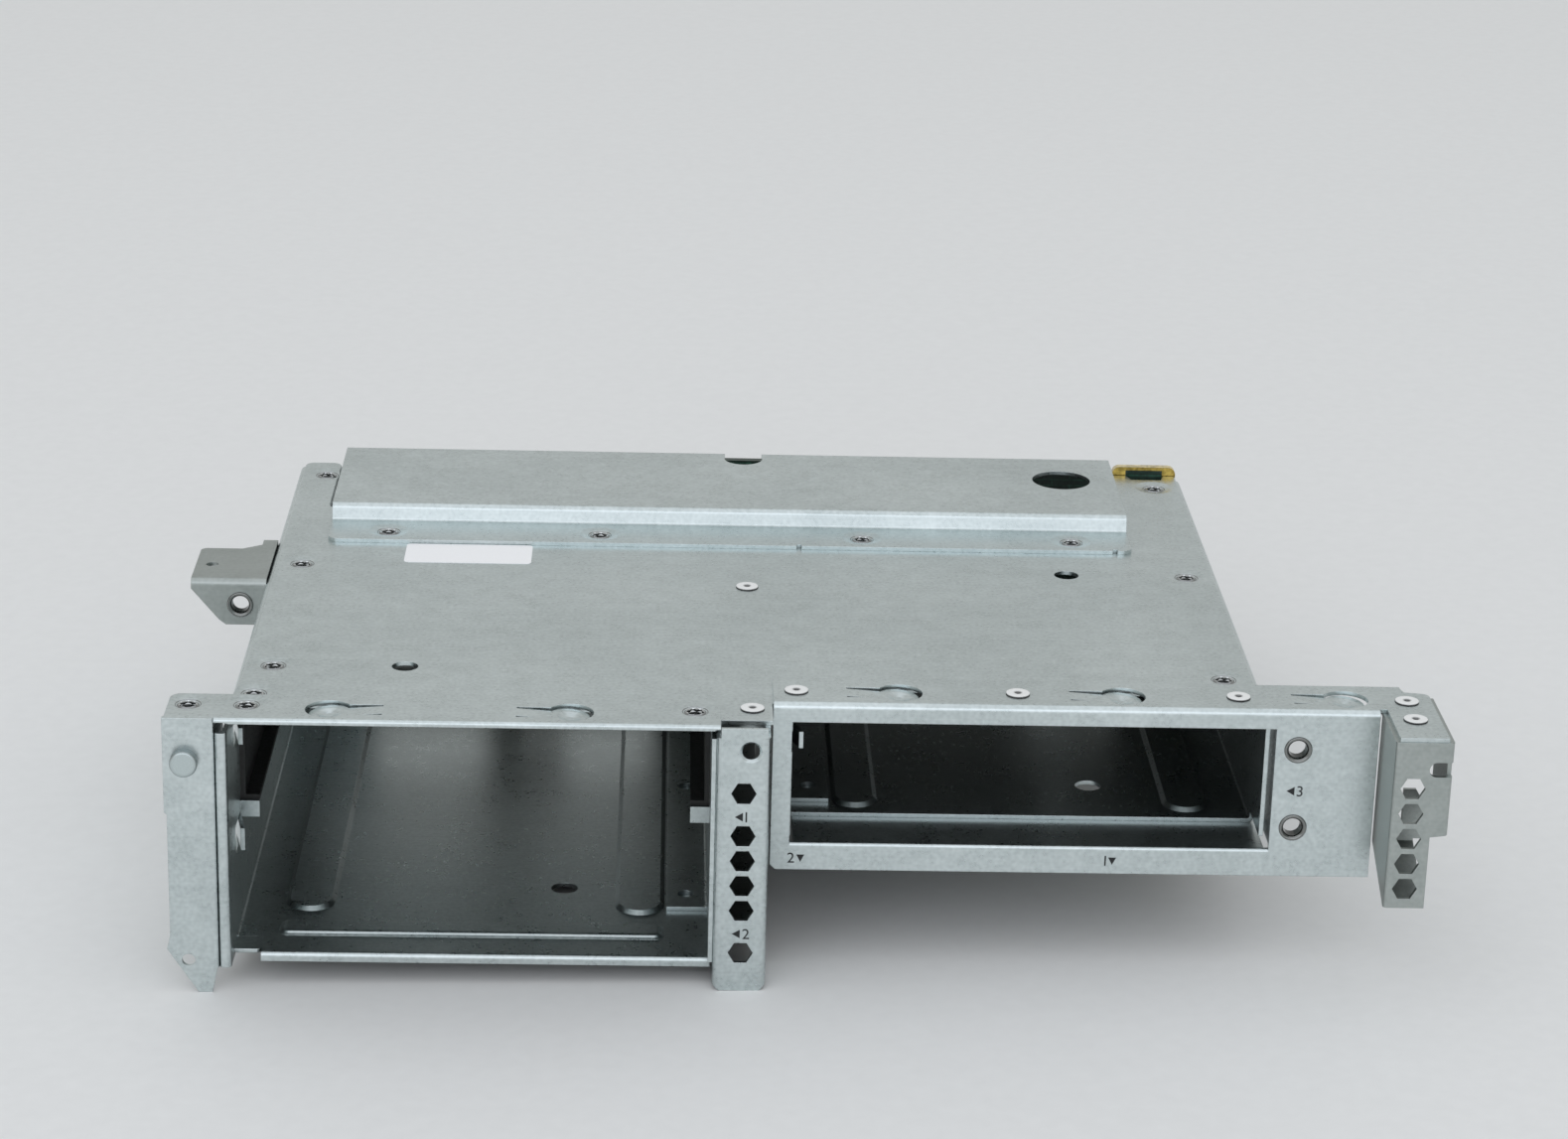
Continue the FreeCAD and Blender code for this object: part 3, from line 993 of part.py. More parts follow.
# Left front flange with its stud
face = body("left_front_flange_body")
edge = f"{HEM_OUT} - face_wide"
tip = f"{HEM_OUT} - tip_left"
add(face, "XZ", "0", "sheet", outline(
    (edge, OVER), (edge, "lid_top - face_step_drop"), (f"{edge} + face_step",
    "lid_top - face_step_drop - face_step"),
    (f"{edge} + face_step", "tip_high"), (f"{edge} - tip_flare + face_step", "tip_flare_high"), (tip, "0"),
    (f"{tip} + tip_wide", "0"), (f"{HEM_OUT} - sheet / 3", "leg_high"), (HEM_OUT, "leg_high"),
    (HEM_OUT, OVER)))
add(face, "YZ", LEG_OUT, "sheet", rect("0", "face_deep", "leg_high", LID))
soften(face, "bend", ("z", {"x": LEG_OUT, "y": "sheet"}))
soften(face, "bend", ("z", {"x": HEM_OUT, "y": "0"}))
add(face, "XY", LID_LOW, "sheet", rect(f"{LEG_OUT} - face_tab", HEM_OUT, "face_tab_front", "face_deep"))
soften(face, "bend", ("y", {"x": LEG_OUT, "z": LID_LOW}))
cut(face, "XY", LID_LOW, "sheet", ring(*STRIP_OUTER, PASS))
stud_x = f"{HEM_OUT} - stud_inset"
stud_z = "lid_top - stud_drop"
cut(face, "XZ", "0", "sheet", ring(stud_x, stud_z, "stud_shank"),
    ring(f"{HEM_OUT} - tip_hole_inset", "tip_hole_high", "tip_hole"))
finish(face, "left_front_flange")
stud = body("flange_stud_body")
add(stud, "XZ", "0 - stud_long", "stud_long", ring(stud_x, stud_z, "stud_round"))
add(stud, "XZ", "0", "sheet", ring(stud_x, stud_z, "stud_shank"))
finish(stud, "flange_stud")

# Perforated centre pillar
pillar = body("centre_pillar_body")
bar = "lid_top + pillar_over"
add(pillar, "XY", "pillar_low", f"{LEDGE_LOW} - pillar_low", outline(
    (CHAN_OUT, "0"), (PILLAR_R, "0"), (PILLAR_R, "pillar_deep"), (f"{PILLAR_R} - sheet", "pillar_deep"),
    (f"{PILLAR_R} - sheet", "sheet"), (f"{CHAN_OUT} + sheet", "sheet"),
    (f"{CHAN_OUT} + sheet", "pillar_deep"),
    (CHAN_OUT, "pillar_deep")))
soften(pillar, "bend", ("z", {"x": f"{CHAN_OUT} + sheet", "y": "sheet"}),
    ("z", {"x": f"{PILLAR_R} - sheet", "y": "sheet"}))
soften(pillar, "bend + sheet", ("z", {"x": CHAN_OUT, "y": "0"}), ("z", {"x": PILLAR_R, "y": "0"}))
add(pillar, "XZ", "0", "sheet", rect(f"{CHAN_OUT} + strip_right + head_clear", f"{PILLAR_R} - bend",
    LEDGE_LOW, bar))
add(pillar, "XY", LEDGE_LOW, "sheet", rect(CHAN_OUT, PILLAR_R, "pillar_tab_front", "pillar_tab_back"))
cut(pillar, "XY", LEDGE_LOW, "sheet", ring(*PLATE_RIVETS[0], "rivet_shank"))
cut(pillar, "XZ", "0", "pillar_deep", outline((CHAN_OUT, "pillar_low"),
    (f"{CHAN_OUT} + pillar_chamfer", "pillar_low"),
    (CHAN_OUT, "pillar_low + pillar_chamfer")), outline((PILLAR_R, "pillar_low"),
    (PILLAR_R, "pillar_low + pillar_chamfer"), (f"{PILLAR_R} - pillar_chamfer", "pillar_low")))
drops = ["hex_upper_drop", "hex_lower_drop"]
drops += [f"hex_group_drop + {step} * hex_pitch" for step in range(4)]
cut(pillar, "XZ", "0", "sheet", *[hexagon(f"({CHAN_OUT} + hex_inset)", f"(lid_top - ({d}))",
    "hex_wide") for d in drops])
hole = (f"{CHAN_OUT} + pillar_hole_inset", "lid_top - pillar_hole_drop")
cut(pillar, "XZ", "0", "sheet", ring(*hole, "pillar_hole"))
cut(pillar, "XZ", "0", "(pillar_ring - pillar_hole) / 2", ring(*hole, "pillar_ring"), taper="0 - rib_slope")
finish(pillar, "centre_pillar")

# Front frame of the right bay with three spring fingers and the tongue over the end bracket
frame = body("right_front_frame_body")
front = "frame_front"
back = "frame_front + frame_deep"
add(frame, "XZ", front, "sheet", outline(
    (f"{FRAME_L} + frame_chamfer", FRAME_LOW), (FRAME_R, FRAME_LOW), (FRAME_R, OVER), (FRAME_L, OVER),
    (FRAME_L, f"{FRAME_LOW} + frame_chamfer")))
add(frame, "XY", LID, "sheet", rect(FRAME_L, FRAME_R, front, back))
fold(frame, "x", {"y": f"{front} + sheet", "z": LID}, {"y": front, "z": OVER})
cut(frame, "XZ", front, "sheet", rect(OPEN_L, OPEN_R, SILL, OPEN_TOP))
add(frame, "XY", f"{SILL} - sheet", "sheet", rect(f"{OPEN_L} + sill_inset", f"{OPEN_R} - sill_inset", front,
    f"{front} + sill_deep"))
soften(frame, "bend + sheet / 4", ("x", {"y": front, "z": SILL}))
add(frame, "YZ", OPEN_R, "sheet", rect(front, f"{front} + jamb_deep", f"{SILL} + sheet",
    f"{OPEN_TOP} - sheet"))
tongue_l = f"{END_L} + tongue_left"
tongue_r = f"{END_R} - tongue_right"
tail = f"{FRAME_R} + frame_tail"
add(frame, "XY", LID, "sheet", outline(
    (FRAME_R, f"{front} + frame_tail_front"), (tongue_l, f"{front} + frame_tail_front"),
    (tongue_l, "tongue_front - end_front"), (tongue_r, "tongue_front - end_front"),
    (tongue_r, "tongue_back"),
    (f"{tail} + sheet / 2", "tongue_back + sheet"), (tail, f"{back} - sheet"), (tail, back),
    (FRAME_R, back)))
soften(frame, "tongue_round", ("z", {"x": tongue_r, "y": "tongue_back"}))
bush_x = f"{OPEN_R} + bush_inset"
bushes = [(bush_x, "lid_top - bush_upper_drop"), (bush_x, "lid_top - bush_upper_drop - bush_pitch")]
cut(frame, "XZ", front, "sheet", *[ring(x, z, "bush_body") for x, z in bushes])
cut(frame, "XY", LID, "sheet", *[ring(x, y, "rivet_shank") for x, y in FRAME_RIVETS + END_RIVETS])
tools = [finger_window("frame_finger", x, y, LID, side) for x, y, side in FRAME_FINGERS]
frame = carve("right_front_frame_sheet", frame, *tools)
frame = fuse("right_front_frame", frame, *[finger("frame_finger", x, y, OVER, side) for x, y,
    side in FRAME_FINGERS])
finish(frame, "right_front_frame")
rivet_set("frame_rivets", FRAME_RIVETS, OVER, "2 * sheet")
rivet_set("bracket_rivets", END_RIVETS, OVER, "2 * sheet")


def bushing_set(name, spots, face):
    """Pressed bushings standing a little out of a face that looks forward."""
    rings = []
    for x, z in spots:
        lip = rod(name + "_lip", "bush_flange", "bush_proud", x, f"{face} - bush_proud", z, lie=True)
        core = rod(name + "_core", "bush_body", "sheet + bush_tail", x, face, z, lie=True)
        bore = rod(name + "_bore", "bush_bore", "sheet + bush_tail + bush_proud", x,
            f"{face} - bush_proud", z, lie=True)
        rings.append(carve(name + "_ring", fuse(name + "_blank", lip, core), bore))
    return finish(group(name, rings), name)


bushing_set("frame_bushings", bushes, front)

# Perforated end bracket at the right
end = body("right_end_bracket_body")
face_y = "0 - end_front"
low = "lid_top - end_low_drop"
step_z = "lid_top - end_step_drop"
add(end, "XZ", face_y, "sheet", outline(
    (END_L, low), (f"{END_R} - end_step", low), (f"{END_R} - end_step", f"{step_z} - sheet / 2"),
    (END_R, step_z), (END_R, LID), (END_L, LID)))
add(end, "YZ", END_L, "sheet", outline((face_y, low), (f"{face_y} + sheet", low),
    (f"{face_y} + end_left_deep", f"{low} + end_taper"), (f"{face_y} + end_left_deep", LID), (face_y, LID)))
add(end, "YZ", f"{END_R} - sheet", "sheet", rect(face_y, f"{face_y} + end_right_deep",
    f"{step_z} + sheet / 2", LID))
add(end, "XY", LID_LOW, "sheet", rect(END_L, END_R, face_y, "tongue_back"))
soften(end, "bend + sheet / 4", ("z", {"x": END_L, "y": face_y}), ("z", {"x": END_R, "y": face_y}))
# Sloped bottom folded in from the left side, and the tab that stands at its back
back_y = f"{face_y} + end_left_deep"
tab_r = f"{END_L} + end_tab_left + end_tab_wide"
tab_z = "lid_top - end_tab_drop"
add(end, "YZ", f"{END_L} + sheet / 2", "end_wide - end_step - sheet / 2", outline(
    (f"{face_y} + sheet / 2", low), (f"{face_y} + sheet", low), (back_y, f"{low} + end_taper"),
    (back_y, f"{low} + end_taper + 2 * sheet"), (f"{back_y} - sheet", f"{low} + end_taper + 2 * sheet"),
    (f"{back_y} - sheet", f"{low} + end_taper + sheet / 2"), (f"{face_y} + sheet / 2", f"{low} + sheet")))
add(end, "XZ", f"{back_y} - sheet", "sheet", outline(
    (f"{END_L} + end_tab_left", f"{low} + end_taper + sheet"), (tab_r, f"{low} + end_taper + sheet"),
    (tab_r, f"{tab_z} - end_tab_cut"), (f"{tab_r} - end_tab_cut_wide", tab_z),
    (f"{END_L} + end_tab_left", tab_z)))
slot_l = f"{END_R} - end_slot_long"
slot_t = "lid_top - end_slot_drop"
cut(end, "XZ", face_y, "end_slot_deep", rect(f"{slot_l} + end_slot_high / 2", END_R,
    f"{slot_t} - end_slot_high", slot_t))
cut(end, "XZ", face_y, "sheet", ring(f"{slot_l} + end_slot_high / 2", f"{slot_t} - end_slot_high / 2",
    "end_slot_high"))
cut(end, "XZ", face_y, "sheet", *[hexagon(f"({END_L} + end_hex_inset)",
    f"(lid_top - end_hex_drop - {k} * hex_pitch)",
    "hex_wide") for k in range(5)])
cut(end, "XY", LID_LOW, "sheet", *[ring(x, y, "rivet_shank") for x, y in END_RIVETS])
finish(end, "right_end_bracket")

# Ear on the left wall
ear = body("ear_bracket_body")
left = "0 - ear_reach"
ear_low = f"{LID_LOW} - ear_high"
tail_y = "ear_front + ear_tail"
add(ear, "XY", LEDGE_LOW, "sheet", outline(
    (left, "ear_front"), ("0", "ear_front"), ("0", tail_y), ("0 - ear_tail_wide", tail_y),
    ("0 - ear_tail_wide", f"{tail_y} - ear_tail_wide"), ("0 - ear_notch", "ear_front + ear_deep"),
    (left, "ear_front + ear_deep")))
soften(ear, "ear_round", ("z", {"x": left, "y": "ear_front + ear_deep"}))
add(ear, "XZ", "ear_front", "sheet", outline(
    (left, LID_LOW), (left, f"{LID_LOW} - ear_edge_high"), ("0 - ear_slope_end",
    f"{ear_low} + ear_slope_low"),
    ("0 - ear_slope_end + ear_blunt", ear_low), ("0", ear_low), ("0", LID_LOW)))
add(ear, "YZ", "0 - sheet", "sheet", rect("ear_front", tail_y, ear_low, LID_LOW))
fold(ear, "x", {"y": "ear_front + sheet", "z": LEDGE_LOW}, {"y": "ear_front", "z": LID_LOW})
cut(ear, "XZ", "ear_front", "sheet", ring("0 - ear_bush_out", "lid_top - ear_bush_drop", "bush_body"))
cut(ear, "XY", LEDGE_LOW, "sheet", ring("0 - ear_hole_out", "ear_front + ear_hole_back", "ear_hole"))
finish(ear, "ear_bracket")
bushing_set("ear_bushing", [("0 - ear_bush_out", "lid_top - ear_bush_drop")], "ear_front")

# Backplane board with its sockets
board = body("backplane_board_body")
top = "lid_top + board_over"
gap_r = f"{BOARD_R} - board_tab"
gap_l = f"{BOARD_R} - board_tab - board_gap"
gap_z = "lid_top - board_gap_drop"
wide_low = f"{LEFT_FLOOR} + board_low"
slim_low = f"{RIGHT_FLOOR} + board_right_low"
add(board, "XZ", "board_front", "board_thick", outline(
    (BOARD_L, wide_low), (CHAN_FAR, wide_low), (CHAN_FAR, slim_low), (BOARD_R, slim_low), (BOARD_R, top),
    (gap_r, top),
    (gap_r, gap_z), (gap_l, gap_z), (gap_l, top), (BOARD_L, top)))
soften(board, "board_round", ("y", {"x": BOARD_R, "z": top}), ("y", {"x": gap_r, "z": top}),
       ("y", {"x": gap_l, "z": top}), ("y", {"x": BOARD_L, "z": top}))
LEFT_MID = f"({LEFT_IN} + bay_wide / 2)"
RIGHT_MID = f"({RIGHT_IN} + bay_wide / 2)"
SOCKETS = [(LEFT_MID, f"({RAIL_TOP} + socket_rise)"), (LEFT_MID, f"({LEFT_FLOOR} + socket_rise)"),
           (RIGHT_MID, f"({RIGHT_FLOOR} + socket_rise)")]
for (x, z), high in zip(SOCKETS, ("vent_high", "lower_vent_high")):
    slot = f"{z} + socket_high + vent_rise"
    cut(board, "XZ", "board_front", "board_thick", *[rect(f"{x} {sign} vent_off - vent_wide / 2",
        f"{x} {sign} vent_off + vent_wide / 2", slot, f"{slot} + {high}") for sign in "-+"])
cut(board, "XZ", "board_front", "board_thick", *[ring(x, z, PASS) for x, z in BOARD_SCREWS])
finish(board, "backplane_board")


def socket(label, x, z, wide, high, front, deep, mouth, rim, forward):
    """A socket block with a mouth that looks forward or back."""
    thing = body(label + "_body")
    sides = (f"{x} - {wide} / 2", f"{x} + {wide} / 2")
    add(thing, "XZ", front, deep, rect(*sides, z, f"{z} + {high}"))
    start = front if forward else f"{front} + {deep} - {mouth}"
    cut(thing, "XZ", start, mouth, rect(f"{sides[0]} + {rim}", f"{sides[1]} - {rim}", f"{z} + {rim}",
        f"{z} + {high} - {rim}"))
    return finish(thing, label)


for count, (x, z) in enumerate(SOCKETS, 1):
    socket(f"drive_connector_{count}", x, z, "socket_wide", "socket_high", "board_front - socket_deep",
        "socket_deep",
           "socket_mouth", "socket_rim", True)
socket("data_connector", "data_inset", "(lid_top - data_drop - data_high)", "data_wide", "data_high",
    BOARD_BACK,
       "plug_deep", "plug_mouth", "plug_rim", False)
socket("power_connector", "power_inset", "(lid_top - power_drop - power_high)", "power_wide",
    "power_high", BOARD_BACK,
       "plug_deep", "plug_mouth", "plug_rim", False)
screws = []
for x, z in BOARD_SCREWS:
    head = rod("board_screw_head", "board_screw_head", "board_screw_high", x, BOARD_BACK, z, lie=True)
    shank = rod("board_screw_shank", "shank_round", "board_thick + 3 * sheet", x,
        f"{TRAY_BACK} - 2 * sheet", z, lie=True)
    screws.append(fuse("board_screw", head, shank))
finish(group("board_screws", screws), "board_screws")

# Bare label on the lid
label = body("label_body")
label_l = f"{COVER_L} + label_inset"
add(label, "XY", LID, "label_thick", rounded(label_l, f"{label_l} + label_wide",
    "cover_front - label_gap - label_deep", "cover_front - label_gap", "label_round"))
finish(label, "label")

doc.recompute()
for thing in doc.Objects:
    if "Invalid" in thing.State or "Error" in thing.State:
        raise RuntimeError(f"{thing.Name} has state {thing.State}")
for label, thing in nodes.items():
    if thing.Shape.isNull() or not thing.Shape.isValid():
        raise RuntimeError(f"{label} has no sound shape")
os.makedirs("parts", exist_ok=True)
for label, thing in nodes.items():
    thing.Shape.exportStep(f"parts/{label}.step")
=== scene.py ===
import json
import math

import bmesh
import bpy
from mathutils import Matrix, Vector


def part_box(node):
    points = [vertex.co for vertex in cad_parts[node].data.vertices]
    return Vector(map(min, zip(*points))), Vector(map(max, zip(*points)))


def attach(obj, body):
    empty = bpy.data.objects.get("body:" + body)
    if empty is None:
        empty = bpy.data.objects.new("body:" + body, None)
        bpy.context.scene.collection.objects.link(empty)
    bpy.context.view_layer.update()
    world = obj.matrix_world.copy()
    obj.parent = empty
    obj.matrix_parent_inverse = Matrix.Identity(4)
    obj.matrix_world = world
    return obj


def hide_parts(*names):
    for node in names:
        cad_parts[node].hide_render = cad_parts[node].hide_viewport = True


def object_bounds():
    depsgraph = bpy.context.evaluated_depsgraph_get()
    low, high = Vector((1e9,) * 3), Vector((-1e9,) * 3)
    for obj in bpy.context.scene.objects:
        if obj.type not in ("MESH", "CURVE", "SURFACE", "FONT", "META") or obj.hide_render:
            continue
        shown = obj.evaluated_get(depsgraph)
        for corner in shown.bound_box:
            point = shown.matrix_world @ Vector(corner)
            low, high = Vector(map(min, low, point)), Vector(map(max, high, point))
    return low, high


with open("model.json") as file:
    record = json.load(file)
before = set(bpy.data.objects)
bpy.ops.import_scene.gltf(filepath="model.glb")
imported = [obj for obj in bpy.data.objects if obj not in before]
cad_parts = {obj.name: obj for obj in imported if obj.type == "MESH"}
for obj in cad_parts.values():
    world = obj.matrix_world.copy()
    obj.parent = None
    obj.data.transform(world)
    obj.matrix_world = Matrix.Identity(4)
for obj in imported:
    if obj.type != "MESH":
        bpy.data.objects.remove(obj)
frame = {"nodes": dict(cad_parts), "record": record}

bl_info = {
    "name": "Hard drive cage finish",
    "version": (1, 0, 0),
    "blender": (4, 5, 0),
    "location": "3D View > Sidebar > Drive Cage",
    "description": "Dresses the folded sheet cage with its finishes, fasteners, contacts and printed marks",
    "category": "Object",
}

CAD_BOX = [list(corner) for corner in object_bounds()]
MM = 0.001
BODY = "root"
SHEETS = ("top_plate", "rear_cover", "left_tray", "right_tray", "centre_channel", "front_strip", "left_front_flange",
          "centre_pillar", "right_front_frame")
SHEET_FINISH = "Electrogalvanised sheet"

# Sockets that go by number, because several share a name: a Mix node's inputs and results, and a Random Value node's.
FACTOR, NUMBER_A, NUMBER_B, COLOUR_A, COLOUR_B = 0, 2, 3, 6, 7
NUMBER, COLOUR = 0, 2
LEAST, MOST, CHANCE = 2, 3, 1

# How a fastener lies, as its turn from standing up: on top of its sheet, behind it or in front of it.
UP, BACK, FRONT = (0.0, 0.0, 0.0), (-math.pi / 2, 0.0, 0.0), (math.pi / 2, 0.0, 0.0)
# For each of these, the axis along which it goes in, and which corner of its box is at its outer end.
LOW, HIGH = 0, 1
OUTER_END = {UP: (2, HIGH), BACK: (1, HIGH), FRONT: (1, LOW)}

SHANK = 1.5 * MM  # radius of a screw's or rivet's shank
LOBES = 6  # lobes of a screw's recess
LOBE = 0.12  # how far they reach in and out, as a share of its radius
SHARP = math.radians(38)  # a turned shape's edges over this angle stay sharp


def linear(code):
    """Linear red, green, blue and full alpha of an sRGB hex value."""
    parts = [int(code[k:k + 2], 16) / 255 for k in (1, 3, 5)]
    return tuple(v / 12.92 if v <= 0.04045 else ((v + 0.055) / 1.055) ** 2.4 for v in parts) + (1.0,)


def tint(name, text, code):
    """A colour that the user can change."""
    return bpy.props.FloatVectorProperty(name=name, description=text, subtype="COLOR", size=4, min=0.0, max=1.0,
                                         default=linear(code))


def length(name, text, size):
    """A length that the user can change, its default in millimetres."""
    return bpy.props.FloatProperty(name=name, description=text, default=size * MM, min=0.0, unit="LENGTH", precision=5)


def number(name, text, value, **limits):
    """A plain number, an angle or a power that the user can change."""
    return bpy.props.FloatProperty(name=name, description=text, default=value, **limits)


class CageFinishes(bpy.types.PropertyGroup):
    """Colours of the cage's materials."""
    zinc: tint("Zinc sheet", "Lighter tone of the zinc-coated sheet", "#DBE4E4")
    zinc_shade: tint("Zinc shade", "Darker tone in the zinc's mottling", "#BBC5C5")
    dull_zinc: tint("Dull zinc", "Lighter tone of the end bracket", "#B7BDBA")
    dull_shade: tint("Dull shade", "Darker tone of the end bracket", "#A1A8A5")
    rail: tint("Rail", "Black of the guide rails", "#141413")
    socket: tint("Socket", "Black of the drive and data sockets", "#1B1B1D")
    pale_socket: tint("Pale socket", "Cream of the power socket", "#E2DDD0")
    board: tint("Board", "Dark green lacquer of the board", "#1C3329")
    board_track: tint("Board track", "Copper runs under the board's lacquer", "#285040")
    board_gold: tint("Board gold", "Gold plate on the board's corner", "#BFA355")
    board_edge: tint("Board edge", "Sawn edge of the board", "#CFC093")
    screw: tint("Screw", "Nickel plate of the screws", "#D6D9D9")
    rivet: tint("Rivet", "Pale metal of the rivets", "#F7F8F7")
    bushing: tint("Bushing", "Turned steel of the bushings", "#868886")
    stud: tint("Stud", "Zinc plate of the stud", "#C4CFCF")
    # Painted shade: the near black that darkens the recesses, rims and undersides of the screws, rivets, bushings and
    # stud, standing in for their shadow, not oil or dirt.
    painted_shade: tint("Painted_shade", "Oil and dirt left in recesses", "#121313")
    contact: tint("Contact", "Gold plate of the contacts", "#E2B856")
    label: tint("Label", "Paper of the bare label", "#FAFBFC")
    ink: tint("Ink", "Ink of the printed marks", "#15181A")
    floor: tint("Floor", "Painted board under the cage", "#EBECEB")


class CageSizes(bpy.types.PropertyGroup):
    """Sizes of what this file adds to the cage."""
    screw_round: length("Screw head", "Diameter of a countersunk head", 5.96)
    recess_round: length("Recess", "Diameter of the six-lobed recess", 3.75)
    recess_deep: length("Recess depth", "Depth of the six-lobed recess", 1.1)
    rivet_round: length("Rivet head", "Diameter of a rivet head", 5.5)
    rivet_pit: length("Rivet pit", "Diameter of the pit in a rivet", 1.5)
    pan_round: length("Board screw", "Diameter of a board screw's head", 5.4)
    bushing_round: length("Bushing collar", "Diameter of a bushing's collar", 6.4)
    bushing_bore: length("Bushing bore", "Bore of a bushing", 4.1)
    stud_shank: length("Stud shank", "Diameter of the stud's pressed shank", 4.0)
    bead_high: length("Bead height", "Height of the cross bead over the tray's floor", 0.95)
    bead_round: length("Bead corner", "Corner radius of the cross bead", 2.2)
    digit_high: length("Digit height", "Height of a printed digit", 2.5)
    ink_lift: length("Ink lift", "Distance of the ink from its sheet", 0.03)
    drive_pitch: length("Drive contact pitch", "Distance between a drive socket's contacts", 1.27)
    data_pitch: length("Data contact pitch", "Distance between the data socket's contacts", 0.8)
    power_pitch: length("Power pin pitch", "Distance between the power socket's pins", 3.0)


class CageStage(bpy.types.PropertyGroup):
    """Camera, floor and lamps."""
    lens: number("Lens", "Focal length in millimetres for a 36 mm sensor", 88.09, min=0.0)
    camera: bpy.props.FloatVectorProperty(name="Camera place", description="Where the camera stands", subtype="XYZ",
                                          unit="LENGTH", default=(-0.03075, -0.88875, 0.38278))
    pitch: number("Pitch", "Camera's look down", 0.33948, unit="ROTATION")
    yaw: number("Yaw", "Camera's turn to the left", -0.03332, unit="ROTATION")
    roll: number("Roll", "Camera's roll", 0.02716, unit="ROTATION")
    floor_wide: length("Floor", "Width of the floor", 9000.0)
    world: number("World light", "Strength of the light from all round", 0.63, min=0.0)
    world_tint: tint("World tint", "Colour of the light from all round", "#F5F6F5")
    key: number("Key lamp", "Power of the lamp above", 18.0, unit="POWER")
    front: number("Front lamp", "Power of the lamp in front", 14.0, unit="POWER")
    lamp_tint: tint("Lamp tint", "Colour of both lamps", "#EFF3FF")


def feed(tree, socket, value):
    """Links a socket to another one, or sets its value."""
    if isinstance(value, bpy.types.NodeSocket):
        tree.links.new(value, socket)
    else:
        socket.default_value = value


def add(tree, kind, inputs=None, **settings):
    """Adds a node to a tree, with its settings, and its inputs as values or as sockets to link."""
    made = tree.nodes.new(kind)
    for key, value in settings.items():
        setattr(made, key, value)
    for key, value in (inputs or {}).items():
        feed(tree, made.inputs[key], value)
    return made


def material(name):
    """A new material, its tree, its shader and its object coordinates."""
    made = bpy.data.materials.new(name)
    made.use_nodes = True
    tree = made.node_tree
    tree.nodes.clear()
    shader = add(tree, "ShaderNodeBsdfPrincipled")
    add(tree, "ShaderNodeOutputMaterial", {"Surface": shader.outputs["BSDF"]})
    return made, tree, shader, add(tree, "ShaderNodeTexCoord").outputs["Object"]


def wire(tree, shader, **links):
    """Links or sets the shader's own sockets."""
    for key, value in links.items():
        feed(tree, shader.inputs[key.replace("_", " ")], value)


def per(size):
    """Scale of a pattern whose marks are this many millimetres wide."""
    return 1 / (size * MM)


def zinc(name, light, shade, rough):
    """Electrogalvanised sheet: a soft metal sheen, mottled by fine zinc crystals, with faint rolling streaks along X.

    The crystals are drawn 0.9 mm wide and the streaks 0.6 mm, because the real ones are too fine to show. Deep inside
    the bays, the channel and the hexagons, where little light gets in, painted shade darkens the sheet's colour by its
    ambient occlusion.
    """
    made, tree, shader, place = material(name)
    crystal = add(tree, "ShaderNodeTexNoise", {"Vector": place, "Scale": per(0.9), "Detail": 0.0})
    patch = add(tree, "ShaderNodeTexNoise", {"Vector": place, "Scale": per(6.0), "Detail": 3.0, "Roughness": 0.55})
    cloud = add(tree, "ShaderNodeTexNoise", {"Vector": place, "Scale": per(45.0), "Detail": 2.0})
    run = add(tree, "ShaderNodeMapping", {"Vector": place, "Scale": (per(25.0), per(0.6), per(0.6))})
    streak = add(tree, "ShaderNodeTexNoise", {"Vector": run.outputs["Vector"], "Scale": 1.0, "Detail": 2.0})
    spots = add(tree, "ShaderNodeMix", {FACTOR: 0.5, NUMBER_A: crystal.outputs["Fac"],
                                        NUMBER_B: patch.outputs["Fac"]}, data_type="FLOAT")
    lines = add(tree, "ShaderNodeMix", {FACTOR: 0.2, NUMBER_A: spots.outputs[NUMBER],
                                        NUMBER_B: streak.outputs["Fac"]}, data_type="FLOAT")
    tone = add(tree, "ShaderNodeMix", {FACTOR: 0.3, NUMBER_A: lines.outputs[NUMBER],
                                       NUMBER_B: cloud.outputs["Fac"]}, data_type="FLOAT")
    level = add(tree, "ShaderNodeMapRange", {"Value": tone.outputs[NUMBER], "From Min": 0.32, "From Max": 0.68})
    colour = add(tree, "ShaderNodeMix", {FACTOR: level.outputs["Result"], COLOUR_A: shade, COLOUR_B: light},
                 data_type="RGBA")
    gloss = add(tree, "ShaderNodeMapRange", {"Value": spots.outputs[NUMBER], "From Min": 0.35, "From Max": 0.65,
                                             "To Min": rough - 0.04, "To Max": rough + 0.04})
    # Painted shade: ambient occlusion darkens the colour in the bays, the channel and the hexagons, down to 0.3 of
    # itself.
    open_air = add(tree, "ShaderNodeAmbientOcclusion", {"Distance": 70.0 * MM}, samples=8)
    occlusion_shade = add(tree, "ShaderNodeMapRange", {"Value": open_air.outputs["AO"], "From Min": 0.1, "From Max": 0.46,
                                            "To Min": 0.3, "To Max": 1.0})
    occlusion_shaded = add(tree, "ShaderNodeMix", {FACTOR: 1.0, COLOUR_A: colour.outputs[COLOUR],
                                         COLOUR_B: occlusion_shade.outputs["Result"]}, data_type="RGBA", blend_type="MULTIPLY")
    soft = add(tree, "ShaderNodeBevel", {"Radius": 0.25 * MM}, samples=4)
    bump = add(tree, "ShaderNodeBump", {"Strength": 0.03, "Distance": 0.04 * MM, "Height": streak.outputs["Fac"],
                                        "Normal": soft.outputs["Normal"]})
    wire(tree, shader, Base_Color=occlusion_shaded.outputs[COLOUR], Metallic=1.0, Roughness=gloss.outputs["Result"],
         Normal=bump.outputs["Normal"])
    return made


